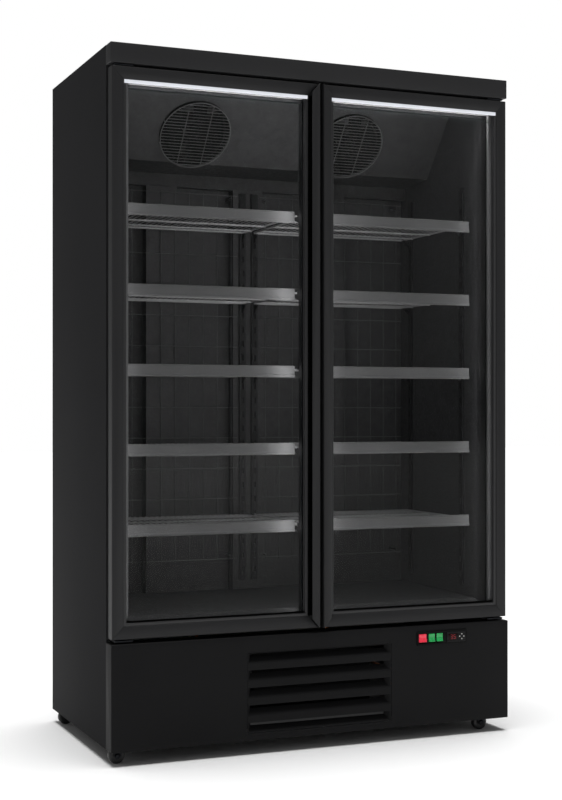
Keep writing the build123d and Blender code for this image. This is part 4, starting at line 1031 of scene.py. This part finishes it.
@dataclass
class RearGuard:
    """Welded wire screens that keep goods off the rear wall."""

    wire: float = 1.3
    levels: int = 13
    uprights: int = 11
    low: float = 501.0
    high: float = 1680.0
    inset: float = 20.0
    gap: float = 40.0
    overrun: float = 6.0
    peg: float = 3.0
    peg_inset: float = 9.0

    def build(self) -> None:
        """Build both screens."""
        at = Extent.of("rear_wire_guard")
        y = at.y[0] + self.wire
        shape = Shape()
        for x in ((at.x[0], -self.gap), (self.gap, at.x[1])):
            for index in range(self.levels):
                z = self.low + index * (self.high - self.low) / (self.levels - 1)
                shape.rod((x[0], y, z), (x[1], y, z), self.wire, 8, 0.4)
            for index in range(self.uprights):
                u = x[0] + self.inset + index * (x[1] - x[0] - 2 * self.inset) / (self.uprights - 1)
                behind, ends = y + 2 * self.wire, (self.low - self.overrun, self.high + self.overrun)
                shape.rod((u, behind, ends[0]), (u, behind, ends[1]), self.wire, 8, 0.4)
            for u in (x[0] + self.inset, x[1] - self.inset):
                for z in (self.low + self.peg_inset, self.high - self.peg_inset):
                    shape.rod((u, y, z), (u, at.y[1], z), self.peg, 12, 0.5)
        shape.placed("rear_wire_screens", "cabinet", SCREEN_WIRE, ["rear_wire_guard"])


@dataclass
class ShelfColumn:
    """Five wire shelves of one column with their price rails."""

    side: int
    word: str
    levels: tuple[float, ...] = (656.0, 886.0, 1116.0, 1346.0, 1576.0)
    drop: float = 9.0
    wire: float = 2.0
    bar: float = 6.0
    count: int = 30
    bars: tuple[float, ...] = (3.0, 110.0, 250.0, 370.0)
    rail_short: float = 10.5
    bar_sink: float = 2.6
    edge_rise: float = 2.6

    def build(self) -> None:
        """Build the shelves and the rails."""
        at = Extent.of("shelves_left")
        rails = Extent.of("price_rails")
        for number, level in enumerate(self.levels, 1):
            self.shelf(at, level, number)
            self.rail(at, rails, level, number)

    def shelf(self, at: Extent, level: float, number: int) -> None:
        """Build one shelf: edge bars, cross bars and the fine wires welded on them.

        Args:
            at: The box of the left column's shelves.
            level: Height of the top of its price rail.
            number: Its place, counted from the lowest.
        """
        x, y, top = at.x, at.y, level - self.drop
        r, w = self.bar / 2, self.wire / 2
        under = top - self.bar_sink - r
        edge = under + self.edge_rise
        shape = Shape()
        for depth in (*self.bars, y[1] - y[0] - r):
            shape.rod((x[0] + 0.5, y[0] + depth, under), (x[1] - 0.5, y[0] + depth, under), r - 0.1, 12, 0.6)
        for u in (x[0] + r, x[1] - r):
            shape.rod((u, y[0] + 0.5, edge), (u, y[1] - 0.5, edge), r - 0.1, 12, 0.6)
        for index in range(1, self.count + 1):
            u = x[0] + index * (x[1] - x[0]) / (self.count + 1)
            shape.rod((u, y[0] + 0.3, top - w), (u, y[1] - 0.3, top - w), w, 8)
        shape.placed(f"shelf_{self.word}_{number}", "cabinet", SHELF_WIRE, ["shelves_" + self.word],
                     self.side)

    def rail(self, at: Extent, rails: Extent, level: float, number: int) -> None:
        """Build one price rail: a leaning label channel with a top lip and a curled lower lip.

        Args:
            at: The box of the left column's shelves.
            rails: The box of all the price rails.
            level: Height of its top.
            number: Its place, counted from the lowest.
        """
        y, t = rails.y[0], level
        outline = [(y + 3.2, t), (y + 2.5, t - 2.6), (y + 3.5, t - 3.6), (y + 1.7, t - 26.4),
                   (y + 0.3, t - 27.6), (y, t - 31.0), (y + 1.5, t - 35.0), (y + 4.5, t - 35.0),
                   (y + 4.5, t - 30.0), (y + 8.0, t - 14.0), (y + 8.0, t - 3.0), (y + 5.2, t)]
        rounds = {0: 1.2, 1: 0.8, 4: 1.0, 5: 1.6, 6: 1.6, 7: 1.2, 9: 1.2, 10: 1.2, 11: 1.2}
        Shape().profile(Axis.X, outline, (at.x[0], at.x[1] - self.rail_short), rounds, ends=0.4).placed(
            f"price_rail_{self.word}_{number}", "cabinet", RAIL, ["price_rails"], self.side)


# ---------------------------------------------------------------- controls
@dataclass
class ControlPanel:
    """Moulded surround with three rockers and the digital thermostat."""

    rockers: dict[str, Finish] = field(default_factory=lambda: {
        "rocker_red": RED_ROCKER, "rocker_green_1": GREEN_ROCKER, "rocker_green_2": GREEN_ROCKER})
    plate: float = 3.0
    wall_inset: float = 3.4
    clearance: float = 0.6
    rocker_z: Range = (286.0, 313.0)
    pivot_depth: float = 11.0
    tilt: float = -6.0
    window_x: Range = (5.0, 36.0)
    window_inset: float = 6.0
    figure_inset: float = 3.4
    figures_at: tuple[tuple[float, str], ...] = ((8.0, "abgcd"), (18.5, "afgcd"))
    figure_width: float = 6.4
    stroke: float = 1.3
    glow_depth: float = 0.3

    def build(self) -> None:
        """Build the controls."""
        self.surround()
        for name, finish in self.rockers.items():
            self.rocker(name, finish)
        self.thermostat()

    def surround(self) -> None:
        """The surround: a rounded plate with openings, and a shallow wall behind it."""
        at = Extent.of("control_bezel")
        thermostat = Extent.of("thermostat")
        shape = Shape()
        y = (at.y[0], at.y[0] + self.plate)
        rows = sorted((Extent.of(n) for n in self.rockers), key=lambda e: e.x[0])
        low = self.rocker_z[0] - self.clearance
        high = self.rocker_z[1] + self.clearance
        gaps = [(r.x[0] - self.clearance, r.x[1] + self.clearance) for r in rows] + [thermostat.x]
        edges = [at.x[0]] + [v for gap in gaps for v in gap] + [at.x[1]]
        for a, b in zip(edges[::2], edges[1::2]):
            shape.block((a, b), y, (low, high) if b < thermostat.x[0] else thermostat.z, 0.4)
        shape.block(at.x, y, (at.z[0], low), 1.2, 3)
        shape.block(at.x, y, (high, at.z[1]), 1.2, 3)
        inset = self.wall_inset
        for z in ((at.z[0] + inset, low - 0.2), (high + 0.2, at.z[1] - inset)):
            shape.block((at.x[0] + inset, at.x[1] - inset), (y[1], at.y[1]), z, 0.5)
        shape.placed("control_surround", "cabinet", ABS, ["control_bezel"])

    def rocker(self, name: str, finish: Finish) -> None:
        """Build one rocker with its shallow V face, tilted to its on position.

        Args:
            name: The body and node that it stands for.
            finish: The finish of its cap.
        """
        x = Extent.of(name).x
        pivot = Vector(((x[0] + x[1]) / 2, Extent.of("control_bezel").y[0] + self.pivot_depth,
                        sum(self.rocker_z) / 2))
        outline = [(-13.4, -12.0), (-11.6, 0.0), (-13.4, 12.0), (-3.0, 11.5), (4.0, 3.5), (4.0, -3.5),
                   (-3.0, -11.5)]
        half = (x[1] - x[0]) / 2
        shape = Shape().profile(Axis.X, outline, (-half, half), {0: 1.8, 1: 6.0, 2: 1.8}, ends=0.7)
        shape.moved(Matrix.Translation(pivot) @ Matrix.Rotation(radians(self.tilt), 4, "X"))
        shape.placed(name + "_cap", name, finish, [name])

    def thermostat(self) -> None:
        """The controller's case, smoked window, red figures and keys."""
        at = Extent.of("thermostat")
        front = at.y[0]
        window_x = (at.x[0] + self.window_x[0], at.x[0] + self.window_x[1])
        window_z = (at.z[0] + self.window_inset, at.z[1] - self.window_inset)
        shape = Shape()
        shape.block(at.x, (front + 1.0, at.y[1]), at.z, 0.8)
        shape.block(at.x, (front, front + 2.0), (window_z[1], at.z[1]), 0.8)
        shape.block(at.x, (front, front + 2.0), (at.z[0], window_z[0]), 0.8)
        shape.block((at.x[0], window_x[0]), (front, front + 2.0), window_z, 0.3)
        shape.block((window_x[1], at.x[1]), (front, front + 2.0), window_z, 0.3)
        shape.placed("thermostat_case", "cabinet", CONTROLLER, ["thermostat"])
        Shape().block(window_x, (front + 0.5, front + 1.4), window_z, 0.2).placed(
            "thermostat_window", "cabinet", SMOKED)
        inset = self.figure_inset
        self.figures(window_x, front + 0.45, (window_z[0] + inset, window_z[1] - inset))
        for number in range(1, 5):
            name = f"thermostat_button_{number}"
            key = Extent.of(name)
            r = (key.x[1] - key.x[0]) / 2
            cx, cz = sum(key.x) / 2, sum(key.z) / 2
            turn = Matrix.Translation((cx, key.y[0], cz)) @ Matrix.Rotation(radians(90), 4, "X")
            long = key.y[1] - key.y[0]
            cap = [(0, 0), (r * 0.6, -0.15), (r * 0.9, -0.5), (r, -1.0), (r, -long), (0, -long)]
            Shape().turned(cap, turn, 24).placed(name + "_cap", name, KEYS, [name])

    def figures(self, x: Range, y: float, z: Range) -> None:
        """Build two seven-segment figures and a point, as any thermostat shows.

        Args:
            x: Width of the window.
            y: Front of the lit bars.
            z: Lowest and highest bar of a figure.
        """
        h, w, half = z[1] - z[0], self.figure_width, self.stroke / 2
        depth, trim = (y, y + self.glow_depth), 0.8
        shape = Shape()
        for offset, lit in self.figures_at:
            left = x[0] + offset
            level = {"a": z[1], "g": z[0] + h / 2, "d": z[0]}
            upright = {"f": (left, z[0] + h * 0.75), "b": (left + w, z[0] + h * 0.75),
                       "c": (left + w, z[0] + h * 0.25)}
            for bar in lit:
                if bar in level:
                    v = level[bar]
                    shape.block((left + trim, left + w - trim), depth, (v - half, v + half), 0.12, 1)
                else:
                    u, v = upright[bar]
                    shape.block((u - half, u + half), depth, (v - h / 4 + trim, v + h / 4 - trim), 0.12, 1)
        shape.block((x[0] + 16.0, x[0] + 17.2), depth, (z[0] - 0.5, z[0] + 0.7), 0.12, 1)
        shape.placed("thermostat_figures", "cabinet", DIGIT_RED)


# ---------------------------------------------------------------- castors
@dataclass
class Castor:
    """A swivel castor: pressed fork, turned wheel, axle nuts and, in front, its brake lever."""

    name: str
    plate_half: float = 29.0
    trail: float = 22.0
    wheel: float = 23.0
    width: float = 20.0
    head_top: float = 66.6
    leg_gap: float = 1.5
    leg: float = 2.5
    boss: float = 8.7
    nut: float = 5.0
    nut_height: float = 2.0
    axle: float = 3.0
    axle_half: float = 14.0
    brake_pin: Point = (-10.0, 0.0, 54.5)
    brake_pin_radius: float = 2.0
    brake_pin_half: float = 16.0
    brake_half: float = 9.5

    def build(self) -> None:
        """Build the fork, the wheel and the brake lever."""
        plate, half = Extent.of("castor_plates"), self.plate_half
        left, front = self.name.endswith("left"), self.name.startswith("front")
        self.x = plate.x[0] + half if left else plate.x[1] - half
        self.y = plate.y[0] + half if front else plate.y[1] - half
        self.fork()
        self.roller()
        if front:
            self.brake()

    def fork(self) -> None:
        """The swivel head with its ball race, kingpin, two pressed legs and the axle."""
        x, y, top, axle = self.x, self.y, self.head_top, self.x - self.trail
        shape = Shape()
        upright = Matrix.Translation((x, y, 0))
        race = [(0, top - 6), (17, top - 6), (19.4, top - 4.6), (20, top - 3), (19.4, top - 1.2), (17.5, top),
                (0, top)]
        kingpin = [(0, top - 1), (4, top - 1), (4, 71.2), (6.5, 71.2), (6.5, 75.2), (5.6, 76), (0, 76)]
        shape.turned(race, upright, 40)
        shape.turned(kingpin, upright, 24)
        inner = self.width / 2 + self.leg_gap
        outer = inner + self.leg
        leg = [(x + 15, top - 3), (axle + 8.5, self.wheel - 2), (axle - 8.5, self.wheel - 2),
               (axle - 9.5, self.wheel + 9), (x - 17, top - 3)]
        for side in (-1, 1):
            span = sorted((y + side * inner, y + side * outer))
            shape.profile(Axis.Y, leg, (span[0], span[1]), {0: 2, 1: 3, 2: 3, 3: 4, 4: 2}, ends=0.4)
            shape.rod((axle, span[0], self.wheel), (axle, span[1], self.wheel), self.boss, 28, 0.4)
            shape.rod((axle, y + side * outer, self.wheel),
                      (axle, y + side * (outer + self.nut_height), self.wheel), self.nut, 6, 0.3)
        half = self.axle_half
        shape.rod((axle, y - half, self.wheel), (axle, y + half, self.wheel), self.axle, 16)
        shape.placed(f"castor_fork_{self.name}_pressing", "castor_fork_" + self.name, ZINC,
                     ["castor_fork_" + self.name])

    def roller(self) -> None:
        """The wheel: a crowned tread, a recessed web and a bored hub."""
        r, w = self.wheel, self.width / 2
        half = [(r, 0), (r - 0.1, w - 3.4), (r - 1.0, w - 1.2), (r - 3.4, w), (15.2, w), (14.6, w - 2),
                (7.4, w - 2), (7.0, w), (3.1, w)]
        mirrored = [(out, -along) for out, along in reversed(half[1:])]
        place = Matrix.Translation((self.x - self.trail, self.y, r)) @ Matrix.Rotation(radians(90), 4, "X")
        body = "castor_wheel_" + self.name
        Shape().turned([*mirrored, *half, mirrored[0]], place, 56).placed(body + "_tyre", body, NYLON, [body])

    def brake(self) -> None:
        """The pressed foot lever on its pin."""
        x0, z, px, y = self.x + self.brake_pin[0], self.brake_pin[2], self.x, self.y
        half, reach = self.brake_half, self.brake_pin_half
        lever = [(x0 + 4, z - 3), (x0 - 26, z - 3.5), (px - 45, z - 7.5), (px - 45.5, z - 5.5),
                 (x0 - 26, z - 0.5), (x0 + 4, z + 3)]
        rounds = {0: 1.2, 2: 0.8, 3: 0.8, 5: 1.2}
        shape = Shape().profile(Axis.Y, lever, (y - half, y + half), rounds, ends=0.5)
        shape.rod((x0, y - reach, z), (x0, y + reach, z), self.brake_pin_radius, 16, 0.3)
        shape.placed(f"brake_pedal_{self.name}_lever", "brake_pedal_" + self.name, ZINC,
                     ["brake_pedal_" + self.name])


@dataclass
class HingePlates:
    """Four pressed hinge plates with their pins."""

    width: float = 53.0
    pin_at: Flat = (14.0, 35.0)
    pin: float = 4.0
    reach: float = 22.0
    gap: float = 3.0
    top_rise: float = 7.5
    foot_drop: float = 8.0

    def build(self) -> None:
        """Build all four."""
        at = Extent.of("hinge_brackets")
        door = Extent.of("door_frame_left")
        shape = Shape()
        pin = (door.x[0] + self.pin_at[0], door.y[0] + self.pin_at[1])
        x = (at.x[0], at.x[0] + self.width)
        low, high = door.z
        above, below = high + self.top_rise, low - self.foot_drop
        for z, pin_z in (((high + self.gap, above), (high - self.reach, above)),
                         ((below, low - self.gap), (below, low + self.reach))):
            for side in (1, -1):
                span = sorted((side * x[0], side * x[1]))
                shape.block((span[0], span[1]), at.y, z, 0.8)
                px = side * pin[0]
                shape.rod((px, pin[1], pin_z[0]), (px, pin[1], pin_z[1]), self.pin, 24, 0.4)
        shape.placed("hinge_plates", "cabinet", ZINC, ["hinge_brackets"])


# ---------------------------------------------------------------- room
@dataclass
class Studio:
    """Pale floor, soft lights and the camera, in metres, watts and degrees."""

    eye: Point = (-1.7560, -4.2385, 0.981)
    heading: float = -22.64
    lens: float = 66.285
    sensor: float = 36.0
    rise: float = 0.01375
    floor_size: float = 30.0
    room_glow: float = 0.16
    sky_power: float = 3.5
    sky_angle: float = 35.0
    column: float = 0.31
    mid_height: float = 1.12

    def build(self) -> None:
        """Set up everything that isn't part of the object."""
        self.floor()
        self.lights()
        self.camera()

    def floor(self) -> None:
        """A plain pale floor."""
        part = bmesh.new()
        bmesh.ops.create_grid(part, x_segments=1, y_segments=1, size=self.floor_size)
        mesh = bpy.data.meshes.new("floor")
        part.to_mesh(mesh)
        part.free()
        floor = bpy.data.objects.new("floor", mesh)
        bpy.context.scene.collection.objects.link(floor)
        pale = bpy.data.materials.new("pale_floor")
        pale.use_nodes = True
        shader = pale.node_tree.nodes["Principled BSDF"]
        shader.inputs["Base Color"].default_value = linear("#fafafa")
        shader.inputs["Roughness"].default_value = 0.85
        shader.inputs["Specular IOR Level"].default_value = 0.1
        mesh.materials.append(pale)

    def lights(self) -> None:
        """Light the room, then each door's goods."""
        self.white_room()
        self.soft_box("front_right", (3.4, -4.6, 2.5), (0.0, -0.3, 1.3), (2.4, 2.6), 9.0)
        self.soft_box("left_rear", (-4.6, 1.6, 2.2), (-0.6, 0.0, 1.0), (2.4, 2.6), 6.0)
        for side, word in ((-1, "left"), (1, "right")):
            self.door_lights(side, word)

    def white_room(self) -> None:
        """A white surround that lights faintly, and a broad panel overhead."""
        scene = bpy.context.scene
        world = bpy.data.worlds.new("white_room")
        scene.world = world
        world.use_nodes = True
        tree = world.node_tree
        tree.nodes.clear()
        white = linear("#ffffff")
        path = add_node(tree, "ShaderNodeLightPath")
        seen = add_node(tree, "ShaderNodeBackground", {"Color": white, "Strength": 1.0})
        cast = add_node(tree, "ShaderNodeBackground", {"Color": white, "Strength": self.room_glow})
        both = add_node(tree, "ShaderNodeMixShader", {"Fac": path.outputs["Is Camera Ray"]})
        tree.links.new(cast.outputs["Background"], both.inputs[1])
        tree.links.new(seen.outputs["Background"], both.inputs[2])
        add_node(tree, "ShaderNodeOutputWorld", {"Surface": both.outputs["Shader"]})
        sky = bpy.data.lights.new("sky_panel", "SUN")
        sky.energy, sky.angle = self.sky_power, radians(self.sky_angle)
        scene.collection.objects.link(bpy.data.objects.new("sky_panel", sky))

    def door_lights(self, side: int, word: str) -> None:
        """Stand in for the light bar's glow: strips at the top and down both sides of one column.

        Args:
            side: -1 for the left column, 1 for the right.
            word: The same in words.
        """
        x, z = side * self.column, self.mid_height
        mullion, hinge = (side * 0.045, -0.24, z), (side * 0.572, -0.235, z)
        self.soft_box("top_light_" + word, (x, -0.287, 1.87), (x, -0.187, 1.0), (0.52, 0.02), 0.7)
        self.soft_box("spill_light_" + word, (x, -0.297, 1.872), (x, -0.277, 1.91), (0.52, 0.008), 0.8)
        self.soft_box("mullion_light_" + word, mullion, (side * 0.35, 0.25, z), (0.03, 1.45), 1.2)
        self.soft_box("hinge_side_light_" + word, hinge, (side * 0.1, 0.25, z), (0.02, 1.45), 0.5)

    def soft_box(self, name: str, at: Point, aim: Point, size: Flat, power: float) -> None:
        """Add one soft box; only the large ones in the room show in gloss.

        Args:
            name: Its name.
            at: Where it hangs.
            aim: What it points at.
            size: Its width and height.
            power: Its power in watts.
        """
        data = bpy.data.lights.new(name, "AREA")
        data.shape, data.size, data.size_y, data.energy = "RECTANGLE", size[0], size[1], power
        lamp = bpy.data.objects.new(name, data)
        lamp.location = at
        lamp.rotation_euler = (Vector(aim) - Vector(at)).to_track_quat("-Z", "Y").to_euler()
        lamp.visible_camera = False
        lamp.visible_glossy = size[0] > 1.0
        bpy.context.scene.collection.objects.link(lamp)

    def camera(self) -> None:
        """The camera, level, with a slight rise."""
        data = bpy.data.cameras.new("camera")
        data.lens, data.sensor_width, data.shift_y = self.lens, self.sensor, self.rise
        data.clip_end = 200.0
        data.dof.use_dof = False
        camera = bpy.data.objects.new("camera", data)
        camera.location = self.eye
        camera.rotation_euler = (radians(90), 0, radians(self.heading))
        bpy.context.scene.collection.objects.link(camera)
        bpy.context.scene.camera = camera
        bpy.context.scene.view_settings.view_transform = "Standard"


def dress_cad_nodes() -> None:
    """Give every carried-over CAD node the finish of its material slot."""
    by_slot = {finish.slot: finish for finish in reversed(FINISHES)}
    for name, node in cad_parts.items():
        for slot in node.material_slots:
            slot.material = by_slot[slot.material.name.split(".")[0]].material()
        LOG.debug("dressed %s", name)


def main() -> None:
    """Build the merchandiser in order and report each piece."""
    logging.basicConfig(level=logging.INFO, format="%(name)s: %(message)s")
    Studio().build()
    dress_cad_nodes()
    CabinetShell().build()
    HingePlates().build()
    for side, word in ((-1, "left"), (1, "right")):
        Door(side, word).build()
        ShelfColumn(side, word).build()
    fans = FanUnit()
    fans.guards()
    fans.fans()
    RearGuard().build()
    ControlPanel().build()
    for name in ("front_left", "front_right", "rear_left", "rear_right"):
        Castor(name).build()


if __name__ == "__main__":
    main()
